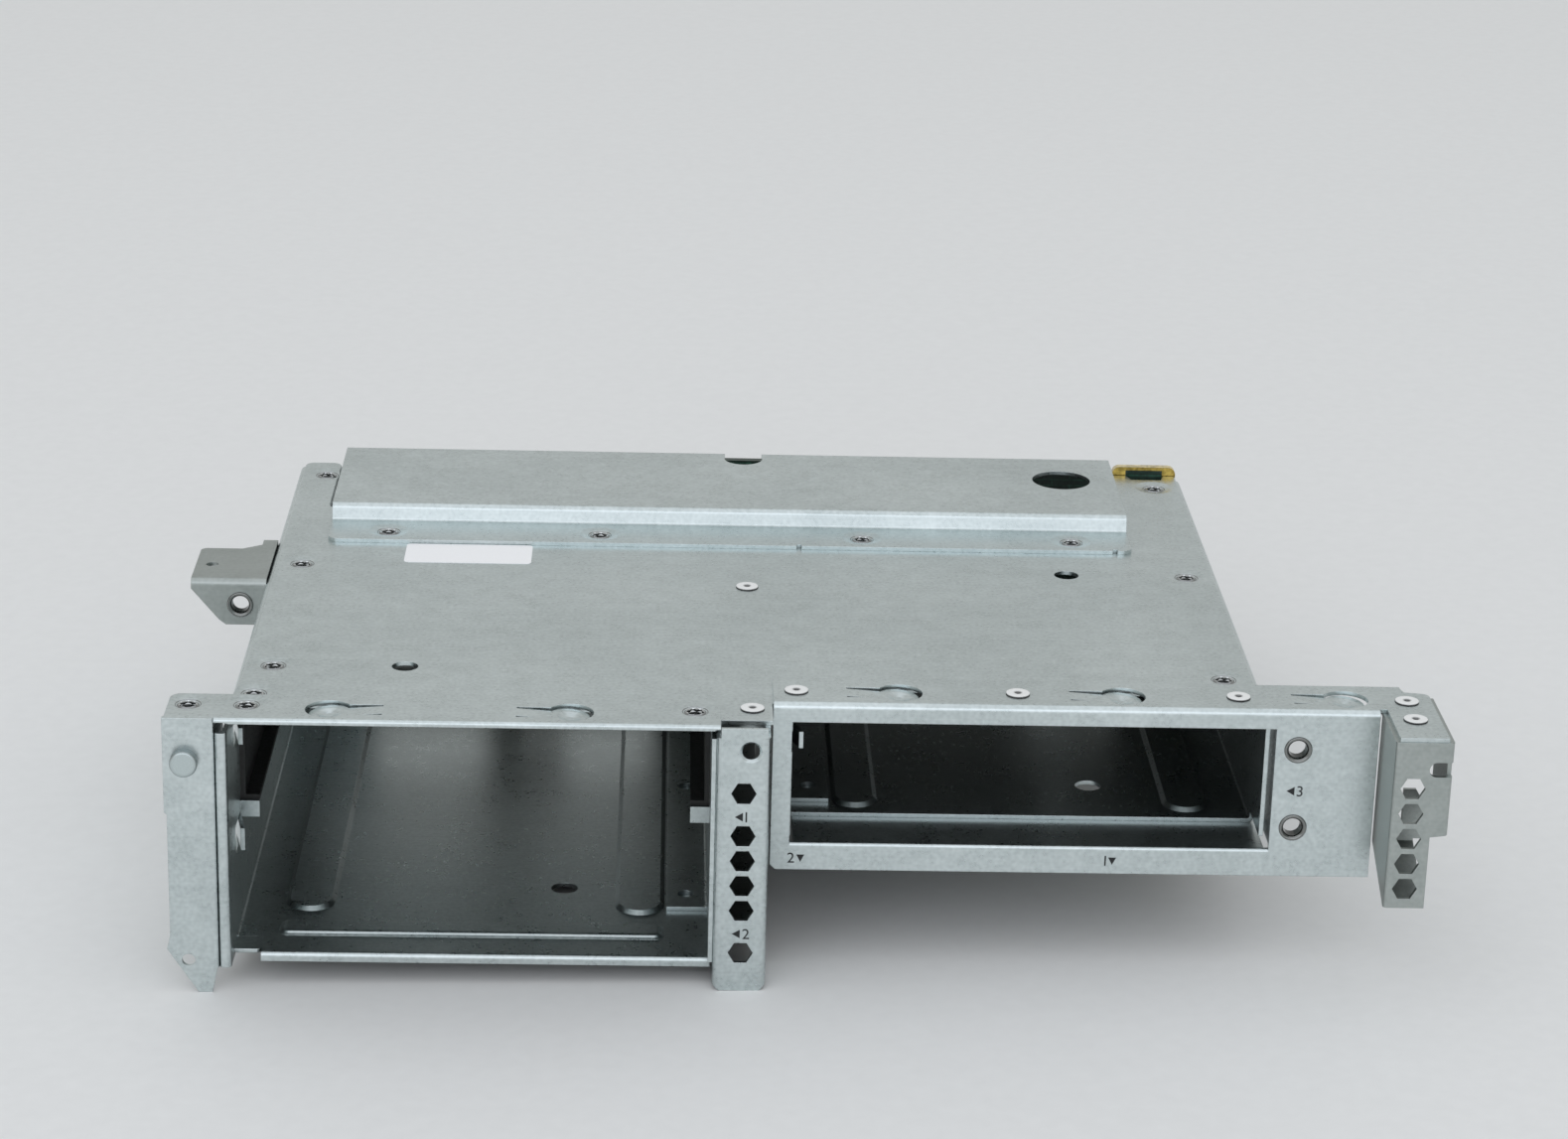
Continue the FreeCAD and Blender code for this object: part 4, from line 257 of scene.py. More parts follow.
def moulded(name, colour, rough, grain):
    """Injection-moulded plastic: an even colour with the tool's fine spark-eroded grain, a little duller in its pits.

    The grain is drawn 0.5 or 0.6 mm wide, because the real one is too fine to show.
    """
    made, tree, shader, place = material(name)
    pits = add(tree, "ShaderNodeTexNoise", {"Vector": place, "Scale": per(grain), "Detail": 3.0})
    gloss = add(tree, "ShaderNodeMapRange", {"Value": pits.outputs["Fac"], "From Min": 0.3, "From Max": 0.7,
                                             "To Min": rough - 0.06, "To Max": rough + 0.1})
    bump = add(tree, "ShaderNodeBump", {"Strength": 0.25, "Distance": 0.04 * MM, "Height": pits.outputs["Fac"]})
    wire(tree, shader, Base_Color=colour, Roughness=gloss.outputs["Result"], IOR=1.5, Normal=bump.outputs["Normal"])
    return made


def plated(name, colour, painted_shade, rough, mark):
    """Plated or turned small metal parts: bright, with fine tool marks, and darkened by painted shade where the mesh's
    shade weight asks for it.

    The marks are drawn 0.6 to 0.9 mm wide, because the real ones are too fine to show.
    """
    made, tree, shader, place = material(name)
    marks = add(tree, "ShaderNodeTexNoise", {"Vector": place, "Scale": per(mark), "Detail": 3.0})
    gloss = add(tree, "ShaderNodeMapRange", {"Value": marks.outputs["Fac"], "From Min": 0.3, "From Max": 0.7,
                                             "To Min": rough - 0.05, "To Max": rough + 0.08})
    shade_weight = add(tree, "ShaderNodeAttribute", attribute_name="painted_shade")
    tone = add(tree, "ShaderNodeMix", {FACTOR: shade_weight.outputs["Fac"], COLOUR_A: colour, COLOUR_B: painted_shade},
               data_type="RGBA")
    bump = add(tree, "ShaderNodeBump", {"Strength": 0.1, "Distance": 0.05 * MM, "Height": marks.outputs["Fac"]})
    wire(tree, shader, Base_Color=tone.outputs[COLOUR], Metallic=1.0, Roughness=gloss.outputs["Result"],
         Normal=bump.outputs["Normal"])
    return made


def laminate(name, face, track, gold, edge):
    """Glass-fibre circuit board: dark lacquer over copper runs, and a corner with gold pads and a pale sawn edge, with
    dark lacquer between the pads as painted shade.

    The flecks of its weave are drawn 1.2 mm wide, because the real ones are too fine to show.
    """
    tab_left, tab_low = 87.5 * MM, 61.5 * MM
    # Painted shade: a dark patch on the tab's front, centred at this X, this wide each way, and below this height.
    shade_middle, shade_half, shade_top = 97.8 * MM, 4.9 * MM, 67.0 * MM
    made, tree, shader, place = material(name)
    flat = add(tree, "ShaderNodeMapping", {"Vector": place, "Rotation": (-math.pi / 2, 0.0, 0.0)})
    runs = add(tree, "ShaderNodeTexBrick", {"Vector": flat.outputs["Vector"], "Scale": 1.0, "Mortar Size": 0.22 * MM,
                                            "Mortar Smooth": 0.2, "Brick Width": 13.0 * MM, "Row Height": 1.6 * MM},
               offset=0.37, offset_frequency=3)
    lacquer = add(tree, "ShaderNodeMix", {FACTOR: runs.outputs["Fac"], COLOUR_A: face, COLOUR_B: track},
                  data_type="RGBA")
    # The tab is the board's upper right corner. Gold covers it, but for a patch at its foot left as dark lacquer, which
    # is painted shade in the lid's notch.
    spot = add(tree, "ShaderNodeSeparateXYZ", {"Vector": place})
    right = add(tree, "ShaderNodeMath", {0: spot.outputs["X"], 1: tab_left}, operation="GREATER_THAN")
    corner = add(tree, "ShaderNodeMath", {0: spot.outputs["Z"], 1: tab_low}, operation="GREATER_THAN")
    tab = add(tree, "ShaderNodeMath", {0: right.outputs[0], 1: corner.outputs[0]}, operation="MULTIPLY")
    off = add(tree, "ShaderNodeMath", {0: spot.outputs["X"], 1: shade_middle}, operation="SUBTRACT")
    away = add(tree, "ShaderNodeMath", {0: off.outputs[0]}, operation="ABSOLUTE")
    aside = add(tree, "ShaderNodeMath", {0: away.outputs[0], 1: shade_half}, operation="GREATER_THAN")
    above = add(tree, "ShaderNodeMath", {0: spot.outputs["Z"], 1: shade_top}, operation="GREATER_THAN")
    either = add(tree, "ShaderNodeMath", {0: aside.outputs[0], 1: above.outputs[0]}, operation="MAXIMUM")
    pads = add(tree, "ShaderNodeMath", {0: tab.outputs[0], 1: either.outputs[0]}, operation="MULTIPLY")
    front = add(tree, "ShaderNodeMix", {FACTOR: pads.outputs[0], COLOUR_A: lacquer.outputs[COLOUR], COLOUR_B: gold},
                data_type="RGBA")
    # The board stands across Y, so a face that doesn't look along Y is its sawn edge.
    rim = add(tree, "ShaderNodeMix", {FACTOR: tab.outputs[0], COLOUR_A: face, COLOUR_B: edge}, data_type="RGBA")
    side = add(tree, "ShaderNodeSeparateXYZ", {"Vector": add(tree, "ShaderNodeTexCoord").outputs["Normal"]})
    facing = add(tree, "ShaderNodeMath", {0: side.outputs["Y"]}, operation="ABSOLUTE")
    sawn = add(tree, "ShaderNodeMath", {0: facing.outputs[0], 1: 0.5}, operation="LESS_THAN")
    tone = add(tree, "ShaderNodeMix", {FACTOR: sawn.outputs[0], COLOUR_A: front.outputs[COLOUR],
                                       COLOUR_B: rim.outputs[COLOUR]}, data_type="RGBA")
    fleck = add(tree, "ShaderNodeTexNoise", {"Vector": place, "Scale": per(1.2), "Detail": 2.0})
    weave = add(tree, "ShaderNodeMapRange", {"Value": fleck.outputs["Fac"], "From Min": 0.36, "From Max": 0.64,
                                             "To Min": 0.62, "To Max": 1.2})
    speck = add(tree, "ShaderNodeHueSaturation", {"Color": tone.outputs[COLOUR], "Value": weave.outputs["Result"]})
    bump = add(tree, "ShaderNodeBump", {"Strength": 0.3, "Distance": 0.05 * MM, "Height": runs.outputs["Fac"]})
    plate = add(tree, "ShaderNodeMath", {0: pads.outputs[0], 1: facing.outputs[0]}, operation="MULTIPLY")
    wire(tree, shader, Base_Color=speck.outputs["Color"], Metallic=plate.outputs[0], Roughness=0.36, IOR=1.52,
         Normal=bump.outputs["Normal"])
    return made


def paper(name, colour, rough, fibre):
    """Coated label paper, printed ink or painted board: matt, with a faint fibre or roller texture.

    Fibres are drawn 0.4 or 0.5 mm wide, because the real ones are too fine to show.
    """
    made, tree, shader, place = material(name)
    grain = add(tree, "ShaderNodeTexNoise", {"Vector": place, "Scale": per(fibre), "Detail": 3.0})
    value = add(tree, "ShaderNodeMapRange", {"Value": grain.outputs["Fac"], "To Min": 0.97, "To Max": 1.03})
    tone = add(tree, "ShaderNodeHueSaturation", {"Color": colour, "Value": value.outputs["Result"]})
    wire(tree, shader, Base_Color=tone.outputs["Color"], Roughness=rough)
    return made


def dress(finish, *names):
    """Puts a material on CAD nodes."""
    for name in names:
        for slot in frame["nodes"][name].material_slots:
            slot.material = finish


def solids(name):
    """Lowest and highest corner of each loose solid of a CAD node, left to right, front to back, then upwards."""
    work = bmesh.new()
    work.from_mesh(frame["nodes"][name].data)
    bmesh.ops.remove_doubles(work, verts=work.verts, dist=1e-6)
    left = set(work.verts)
    found = []
    while left:
        queue = [left.pop()]
        points = []
        while queue:
            vert = queue.pop()
            points.append(vert.co.copy())
            near = [edge.other_vert(vert) for edge in vert.link_edges]
            queue.extend(other for other in near if other in left)
            left.difference_update(near)
        found.append((Vector(map(min, *points)), Vector(map(max, *points))))
    work.free()
    return sorted(found, key=lambda pair: (round(pair[0].x, 4), pair[0].y, pair[0].z))


def new_piece(name, mesh, finish=None):
    """A piece of the cage that rides with it."""
    piece = bpy.data.objects.new(name, mesh)
    bpy.context.scene.collection.objects.link(piece)
    if finish:
        mesh.materials.append(finish)
    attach(piece, BODY)
    return piece


def skin(work, rows, closed=False):
    """Joins rows of vertices by four-sided faces, and caps both ends, or joins the last row to the first."""
    for under, over in zip(rows, rows[1:] + rows[:1] if closed else rows[1:]):
        for k in range(len(under)):
            after = (k + 1) % len(under)
            work.faces.new((under[k], under[after], over[after], over[k]))
    if not closed:
        work.faces.new(reversed(rows[0]))
        work.faces.new(rows[-1])


def worked(name, work):
    """The mesh of finished work."""
    mesh = bpy.data.meshes.new(name)
    work.to_mesh(mesh)
    work.free()
    return mesh


def lofted(name, rings):
    """A closed mesh through rings of points, with flat ends."""
    work = bmesh.new()
    skin(work, [[work.verts.new(point) for point in ring] for ring in rings])
    bmesh.ops.recalc_face_normals(work, faces=work.faces)
    return worked(name, work)


def turned(name, rings, sides=48, bored=False):
    """A closed turned shape from rings of radius, lobe depth, height and painted shade, up its outside and down its
    recess.
    """
    work = bmesh.new()
    shade_weight = work.verts.layers.float.new("painted_shade")
    rows = []
    for radius, lobe, height, painted_shade in rings:
        row = []
        for k in range(sides):
            angle = 2 * math.pi * k / sides
            reach = radius * (1 + lobe * math.cos(LOBES * angle))
            vert = work.verts.new((reach * math.cos(angle), reach * math.sin(angle), height))
            vert[shade_weight] = painted_shade
            row.append(vert)
        rows.append(row)
    skin(work, rows, bored)
    mesh = worked(name, work)
    mesh.polygons.foreach_set("use_smooth", [len(face.vertices) == 4 for face in mesh.polygons])
    mesh.set_sharp_from_angle(angle=SHARP)
    return mesh


def blade(name, thick, reach, side):
    """A contact blade with a tapered tip, along Y."""
    flat = thick * 0.6
    rings = []
    for y, half in ((-0.5, 0.5), (0.28, 0.5), (0.5, 0.28)):
        corners = ((-half, -half), (half, -half), (half, half), (-half, half))
        rings.append([(x * thick, y * reach * side, z * flat) for x, z in corners])
    return lofted(name, rings)


def printed(name, digit, high, left):
    """A flat digit with its arrow: before it and pointing left, or after it and pointing down."""
    digit_share = 0.69  # height of a digit, as a share of the font's size
    arrow_room = 0.95  # from an arrow's tip to the digit after it, in digit heights
    arrow_gap = 0.2  # from a digit to the arrow after it, in digit heights
    curve = bpy.data.curves.new(name, "FONT")
    curve.body = digit
    curve.size = high / digit_share
    writer = bpy.data.objects.new(name + "_writer", curve)
    bpy.context.scene.collection.objects.link(writer)
    graph = bpy.context.evaluated_depsgraph_get()
    mesh = bpy.data.meshes.new_from_object(writer.evaluated_get(graph))
    bpy.data.objects.remove(writer)
    start = min(v.co.x for v in mesh.vertices)
    wide = max(v.co.x for v in mesh.vertices) - start
    if left:
        shift = high * arrow_room
        corners = ((0.0, 0.5), (0.72, 0.08), (0.72, 0.92))
    else:
        shift = 0.0
        near = wide / high + arrow_gap
        corners = ((near + 0.36, 0.1), (near + 0.72, 0.82), (near, 0.82))
    mesh.transform(Matrix.Translation((shift - start, 0.0, 0.0)))
    work = bmesh.new()
    work.from_mesh(mesh)
    work.faces.new([work.verts.new((a * high, b * high, 0.0)) for a, b in corners])
    bmesh.ops.triangulate(work, faces=work.faces)
    work.to_mesh(mesh)
    work.free()
    mesh.name = name
    mesh.materials.clear()
    return mesh


def begin_tree(name, *more):
    """A new tree of Geometry Nodes with its named inputs, what it is given, and the shape that it sets."""
    tree = bpy.data.node_groups.new(name, "GeometryNodeTree")
    for label, kind in (("Geometry", "Geometry"), ("Shape", "Object"), ("Finish", "Material")) + more:
        tree.interface.new_socket(label, in_out="INPUT", socket_type="NodeSocket" + kind)
    tree.interface.new_socket("Geometry", in_out="OUTPUT", socket_type="NodeSocketGeometry")
    given = add(tree, "NodeGroupInput").outputs
    return tree, given, add(tree, "GeometryNodeObjectInfo", {"Object": given["Shape"]}).outputs["Geometry"]


def end_tree(tree, instances, finish):
    """Ends a tree in real geometry with its material."""
    real = add(tree, "GeometryNodeRealizeInstances", {"Geometry": instances})
    worn = add(tree, "GeometryNodeSetMaterial", {"Geometry": real.outputs["Geometry"], "Material": finish})
    add(tree, "NodeGroupOutput", {"Geometry": worn.outputs["Geometry"]})
    return tree


def place_tree():
    """Geometry Nodes that set a shape on each point of a mesh, laid over and spun by a seeded turn."""
    tree, given, shape = begin_tree("Fasteners on their points", ("Lie", "Vector"), ("Spin", "Float"))
    chance = add(tree, "FunctionNodeRandomValue", {LEAST: 0.0, MOST: given["Spin"], "Seed": 11}, data_type="FLOAT")
    spin = add(tree, "ShaderNodeCombineXYZ", {"Z": chance.outputs[CHANCE]})
    lie = add(tree, "FunctionNodeEulerToRotation", {0: given["Lie"]})
    own = add(tree, "FunctionNodeEulerToRotation", {0: spin.outputs[0]})
    turn = add(tree, "FunctionNodeRotateRotation", {0: lie.outputs[0], 1: own.outputs[0]}, rotation_space="LOCAL")
    made = add(tree, "GeometryNodeInstanceOnPoints", {"Points": given["Geometry"], "Instance": shape,
                                                      "Rotation": turn.outputs[0]})
    return end_tree(tree, made.outputs["Instances"], given["Finish"])


def grid_tree():
    """Geometry Nodes that set a contact on a grid of columns and rows, laid over to look out of a socket."""
    tree, given, shape = begin_tree("Contacts in rows", ("Place", "Vector"), ("Columns", "Int"), ("Rows", "Int"),
                                    ("Pitch", "Float"), ("Row gap", "Float"))
    spans = []
    for count, pitch in (("Columns", "Pitch"), ("Rows", "Row gap")):
        fewer = add(tree, "ShaderNodeMath", {0: given[count], 1: 1.0}, operation="SUBTRACT")
        span = add(tree, "ShaderNodeMath", {0: fewer.outputs[0], 1: given[pitch]}, operation="MULTIPLY")
        spans.append(span.outputs[0])
    grid = add(tree, "GeometryNodeMeshGrid", {"Size X": spans[0], "Size Y": spans[1], "Vertices X": given["Columns"],
                                              "Vertices Y": given["Rows"]})
    stood = add(tree, "GeometryNodeTransform", {"Geometry": grid.outputs["Mesh"], "Translation": given["Place"],
                                                "Rotation": (math.pi / 2, 0.0, 0.0)})
    made = add(tree, "GeometryNodeInstanceOnPoints", {"Points": stood.outputs["Geometry"], "Instance": shape})
    return end_tree(tree, made.outputs["Instances"], given["Finish"])


def grown(name, tree, points, shape, slot, **values):
    """A plain mesh piece grown by a tree from points and a shape."""
    base = bpy.data.meshes.new(name + "_points")
    base.from_pydata(points, [], [])
    model = bpy.data.objects.new(name + "_shape", shape)
    grower = bpy.data.objects.new(name + "_grower", base)
    for thing in (model, grower):
        bpy.context.scene.collection.objects.link(thing)
    step = grower.modifiers.new("Grow", "NODES")
    step.node_group = tree
    sockets = {item.name: item.identifier for item in tree.interface.items_tree if item.in_out == "INPUT"}
    step[sockets["Shape"]] = model
    for key, value in values.items():
        step[sockets[key.replace("_", " ")]] = value
    graph = bpy.context.evaluated_depsgraph_get()
    mesh = bpy.data.meshes.new_from_object(grower.evaluated_get(graph))
    if not mesh.polygons:
        raise RuntimeError(f"{name} came out empty")
    mesh.name = name
    grower.modifiers.remove(step)
    for thing in (model, grower):
        bpy.data.objects.remove(thing)
    return new_piece(name, mesh)


def inner_end(node, lie):
    """Height of the inner end of a CAD node's first fastener over its outer end, so below zero."""
    low, high = solids(node)[0]
    axis = OUTER_END[lie][0]
    return low[axis] - high[axis]


def fasten(node, tree, shape, slot, finish, lie, spin):
    """Sets a shape on the outer end of each of a CAD node's fasteners, and lets it stand for the node."""
    axis, end = OUTER_END[lie]
    points = []
    for box in solids(node):
        point = (box[LOW] + box[HIGH]) / 2
        point[axis] = box[end][axis]
        points.append(point)
    piece = grown("made_" + node, tree, points, shape, slot, Finish=finish, Lie=lie, Spin=spin)
    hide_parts(node)


class CAGE_OT_sheet(bpy.types.Operator):
    """Puts the zinc finish on the folded sheet"""
    bl_idname = "cage.sheet"
    bl_label = "Folded sheet"

    def execute(self, context):
        look = context.scene.cage_finishes
        dress(zinc(SHEET_FINISH, look.zinc, look.zinc_shade, rough=0.31), *SHEETS)
        # The end bracket has a duller sheet of its own; on the ear bracket the same darker colours are painted shade,
        # for the shade that falls on it.
        dress(zinc("Dull galvanised sheet", look.dull_zinc, look.dull_shade, rough=0.4), "right_end_bracket",
              "ear_bracket")
        return {"FINISHED"}


class CAGE_OT_bead(bpy.types.Operator):
    """Raises the bead of the left tray's cross rib, so that its front side catches the light"""
    bl_idname = "cage.bead"
    bl_label = "Cross bead"

    def execute(self, context):
        sizes = context.scene.cage_sizes
        low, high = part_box("left_tray")
        near = Vector((low.x + 12.1 * MM, low.y + 12.6 * MM, low.z + 2.3 * MM))
        far = Vector((high.x - 23.1 * MM, low.y + 20.8 * MM, near.z + sizes.bead_high))
        # How far in the bead's side is, in millimetres, and how high, as a share of the bead's height.
        profile = ((0.0, -0.2), (0.0, 0.0), (0.6, 0.4), (1.0, 0.8), (1.6, 1.0), (2.2, 1.0))
        tighter = 0.8  # how much of that the corners lose from their radius
        steps = 32
        rings = []
        for inward, rise in profile:
            ring = []
            inset = inward * MM
            bend = sizes.bead_round - inset * tighter
            for k in range(steps):
                angle = 2 * math.pi * (k + 0.5) / steps
                side = Vector((math.copysign(1, math.cos(angle)), math.copysign(1, math.sin(angle))))
                x = (far.x if side.x > 0 else near.x) - side.x * (inset + bend) + bend * math.cos(angle)
                y = (far.y if side.y > 0 else near.y) - side.y * (inset + bend) + bend * math.sin(angle)
                ring.append((x, y, near.z + rise * (far.z - near.z)))
            rings.append(ring)
        new_piece("cross_bead", lofted("cross_bead", rings), bpy.data.materials[SHEET_FINISH])
        return {"FINISHED"}


class CAGE_OT_corner(bpy.types.Operator):
    """Fills the cut-back front corner of the left tray's floor up to its wall, with a small relief beside the lip"""
    bl_idname = "cage.corner"
    bl_label = "Floor corner"

    def execute(self, context):
        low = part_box("left_tray")[0]
        # The plate's outline from above, and then its rounded front edge, in millimetres from the tray's lowest corner.
        back = 12.0
        plan = ((2.8, back), (2.8, 5.2), (8.1, 5.2), (8.5, 5.5), (9.0, 6.2), (9.0, back))
        rings = []
        for inset, rise in ((0.1, 1.3), (0.0, 1.4), (0.0, 2.1), (0.06, 2.24), (0.2, 2.3)):
            rings.append([low + MM * Vector((x, y + inset if y < back else y, rise)) for x, y in plan])
        new_piece("floor_corner", lofted("floor_corner", rings),
                  bpy.data.materials[SHEET_FINISH])
        return {"FINISHED"}


class CAGE_OT_rails(bpy.types.Operator):
    """Puts moulded nylon on the guide rails"""
    bl_idname = "cage.rails"
    bl_label = "Guide rails"

    def execute(self, context):
        nylon = moulded("Moulded nylon", context.scene.cage_finishes.rail, rough=0.5, grain=0.6)
        dress(nylon, "left_rail", "right_rail")
        return {"FINISHED"}


class CAGE_OT_board(bpy.types.Operator):
    """Puts the laminate on the board and plastic on its sockets"""
    bl_idname = "cage.board"
    bl_label = "Backplane board"

    def execute(self, context):
        look = context.scene.cage_finishes
        board = laminate("Glass-fibre laminate", look.board, look.board_track, look.board_gold, look.board_edge)
        dress(board, "backplane_board")
        dress(moulded("Black polyester", look.socket, rough=0.42, grain=0.5), "drive_connector_1", "drive_connector_2",
              "drive_connector_3", "data_connector")
        dress(moulded("Cream polyester", look.pale_socket, rough=0.42, grain=0.5), "power_connector")
        return {"FINISHED"}


class CAGE_OT_contacts(bpy.types.Operator):
    """Sets gold contacts in the sockets' mouths"""
    bl_idname = "cage.contacts"
    bl_label = "Contacts"

    def execute(self, context):
        look, sizes = context.scene.cage_finishes, context.scene.cage_sizes
        gold = plated("Gold-plated contact", look.contact, look.painted_shade, rough=0.25, mark=0.6)
        tree = grid_tree()
        # Contacts in a row and their pitch, then in millimetres the gap between the two rows, a contact's width, its
        # reach from the mouth's floor and the mouth's depth, and last which way the mouth looks along Y.
        drive = (28, sizes.drive_pitch, 3.4, 0.6, 3.6, 4.0, -1)
        data = (20, sizes.data_pitch, 4.4, 0.4, 5.2, 6.0, 1)
        power = (6, sizes.power_pitch, 3.4, 1.0, 5.4, 6.0, 1)
        for name, layout in (("drive_connector_1", drive), ("drive_connector_2", drive), ("drive_connector_3", drive),
                             ("data_connector", data), ("power_connector", power)):
            columns, pitch, gap, thick, reach, mouth, side = layout
            low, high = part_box(name)
            mid = (low + high) / 2
            floor = (low.y if side < 0 else high.y) - side * mouth * MM
            place = (mid.x, floor + side * reach * MM / 2, mid.z)
            pin = blade(name + "_pin", thick * MM, reach * MM, side)
            grown(name + "_contacts", tree, [(0, 0, 0)], pin, "bushing_steel", Finish=gold, Place=place,
                  Columns=columns, Rows=2, Pitch=pitch, Row_gap=gap * MM)
        return {"FINISHED"}


class CAGE_OT_screws(bpy.types.Operator):
    """Makes the countersunk screws of the lid, cover and strip, with six-lobed recesses"""
    bl_idname = "cage.screws"
    bl_label = "Countersunk screws"

    def execute(self, context):
        look, sizes = context.scene.cage_finishes, context.scene.cage_sizes
        nickel = plated("Nickel-plated steel", look.screw, look.painted_shade, rough=0.14, mark=0.7)
        tree = place_tree()
        head, lobe, deep = sizes.screw_round / 2, sizes.recess_round / 2, sizes.recess_deep
        for name in ("plate_screws", "cover_screws", "strip_screws"):
            # Up the shank and the cone to the rim, over the dished face, and down the recess. The last number in each
            # ring is painted shade, dark round the rim and the dished face and deep in the recess.
            rings = [(SHANK, 0, inner_end(name, UP), 0), (SHANK, 0, -0.00068, 0),
                     (head, 0, -0.0001, 0.8), (head - 0.00006, 0, 0.0, 0.4),
                     (head * 0.87, 0, -0.0003, 0.8), (head * 0.81, 0, -0.00024, 0.6),
                     (head * 0.74, 0, -0.00004, 0.5), (lobe * 1.14, 0, 0.0, 0.3),
                     (lobe, LOBE, -0.0001, 0), (lobe * 0.98, LOBE, -deep * 0.25, 0.3),
                     (lobe * 0.96, LOBE, -deep * 0.45, 1), (lobe * 0.93, LOBE, -deep, 1),
                     (lobe * 0.3, 0, -deep - 0.0002, 1)]
            fasten(name, tree, turned(name + "_head", rings), "plated_screw", nickel, UP, spin=math.pi / 3)
        return {"FINISHED"}


class CAGE_OT_board_screws(bpy.types.Operator):
    """Makes the pan-head screws that hold the board, seen from the back"""
    bl_idname = "cage.board_screws"
    bl_label = "Board screws"

    def execute(self, context):
        look, sizes = context.scene.cage_finishes, context.scene.cage_sizes
        zinced = plated("Zinc-plated screw steel", look.screw, look.painted_shade, rough=0.3, mark=0.7)
        name = "board_screws"
        head, lobe = sizes.pan_round / 2, sizes.recess_round * 0.44
        # Up the shank, round the pan head, and down the recess. The last number in each ring is painted shade, under
        # the head's edge and in the recess.
        rings = [(SHANK, 0, inner_end(name, BACK), 0), (SHANK, 0, -0.00178, 0),
                 (head, 0, -0.00178, 0.4), (head, 0, -0.0009, 0),
                 (head * 0.93, 0, -0.0004, 0), (head * 0.78, 0, -0.0001, 0), (lobe * 1.15, 0, 0.0, 0),
                 (lobe, LOBE, -0.0001, 0.4), (lobe * 0.93, LOBE, -0.0012, 0.9), (lobe * 0.3, 0, -0.0014, 1)]
        fasten(name, place_tree(), turned("board_screw_head", rings), "plated_screw", zinced, BACK, spin=math.pi / 3)
        return {"FINISHED"}


class CAGE_OT_rivets(bpy.types.Operator):
    """Makes the pale rivets with their central pits"""
    bl_idname = "cage.rivets"
    bl_label = "Rivets"

    def execute(self, context):
        look, sizes = context.scene.cage_finishes, context.scene.cage_sizes
        pale = plated("Tumbled aluminium", look.rivet, look.painted_shade, rough=0.8, mark=0.9)
        tree = place_tree()
        head, pit = sizes.rivet_round / 2, sizes.rivet_pit / 2
        for name in ("frame_rivets", "bracket_rivets", "plate_rivets"):
            # Up the shank, round the flat head, and down the pit. The last number in each ring is painted shade, under
            # the head and down the pit.
            rings = [(SHANK, 0, inner_end(name, UP), 0), (SHANK, 0, -0.0005, 1),
                     (head, 0, -0.0005, 1), (head, 0, -0.0003, 0.8),
                     (head - 0.0001, 0, -0.00012, 0), (head - 0.00035, 0, -0.00002, 0), (head * 0.6, 0, 0.0, 0),
                     (pit * 1.5, 0, -0.00005, 0), (pit, 0, -0.00016, 0.4), (pit * 0.8, 0, -0.0007, 0.8),
                     (pit * 0.3, 0, -0.0009, 0.9)]
            fasten(name, tree, turned(name + "_head", rings, sides=40), "rivet_metal", pale, UP, spin=math.pi)
        return {"FINISHED"}


class CAGE_OT_bushings(bpy.types.Operator):
    """Makes the pressed bushings with their rounded collars, and the stud with its rim darkened by painted shade"""
    bl_idname = "cage.bushings"
    bl_label = "Stud and bushings"

    def execute(self, context):
        look, sizes = context.scene.cage_finishes, context.scene.cage_sizes
        bright = plated("Zinc-plated stud steel", look.stud, look.painted_shade, rough=0.3, mark=0.8)
        steel = plated("Turned steel", look.bushing, look.painted_shade, rough=0.13, mark=0.8)
        tree = place_tree()
        collar, bore, barrel = sizes.bushing_round / 2, sizes.bushing_bore / 2, 2.6 * MM
        for name in ("frame_bushings", "ear_bushing"):
            tail = inner_end(name, FRONT)
            # Up the barrel, round the collar, and down the bore to the other end. The last number in each ring is
            # painted shade, under the collar and down the bore.
            rings = [(barrel, 0, tail, 0), (barrel, 0, -0.0004, 0.6),
                     (collar, 0, -0.0004, 0.9), (collar, 0, -0.0003, 0.7), (collar - 0.00008, 0, -0.00012, 0.1),
                     (collar - 0.00022, 0, -0.00003, 0), (collar - 0.0004, 0, 0.0, 0),
                     (bore + 0.0005, 0, -0.00012, 0), (bore + 0.00026, 0, -0.00036, 0),
                     (bore + 0.00008, 0, -0.0007, 0.2), (bore, 0, -0.0011, 0.6), (bore, 0, tail, 0.8)]
            shape = turned(name + "_collar", rings, bored=True)
            fasten(name, tree, shape, "bushing_steel", steel, FRONT, spin=0.0)
        name = "flange_stud"
        low, high = solids(name)[0]
        head, shank, tail = (high.x - low.x) / 2, sizes.stud_shank / 2, inner_end(name, FRONT)
        # Up the shank, which is pressed into the flange, and round the flat head. The last number in each ring is
        # painted shade, under the head and round its rim.
        rings = [(shank, 0, tail, 0), (shank, 0, tail + 0.001, 0), (head, 0, tail + 0.001, 0.6),
                 (head, 0, -0.0005, 0.5), (head - 0.0001, 0, -0.0002, 0.35), (head - 0.0004, 0, 0.0, 0.1),
                 (head * 0.7, 0, 0.0, 0)]
        fasten(name, tree, turned("stud_head", rings), "bushing_steel", bright, FRONT, spin=0.0)
        return {"FINISHED"}


class CAGE_OT_label(bpy.types.Operator):
    """Puts paper on the bare label"""
    bl_idname = "cage.label"
    bl_label = "Bare label"

    def execute(self, context):
        dress(paper("Coated label paper", context.scene.cage_finishes.label, rough=0.55, fibre=0.5), "label")
        return {"FINISHED"}


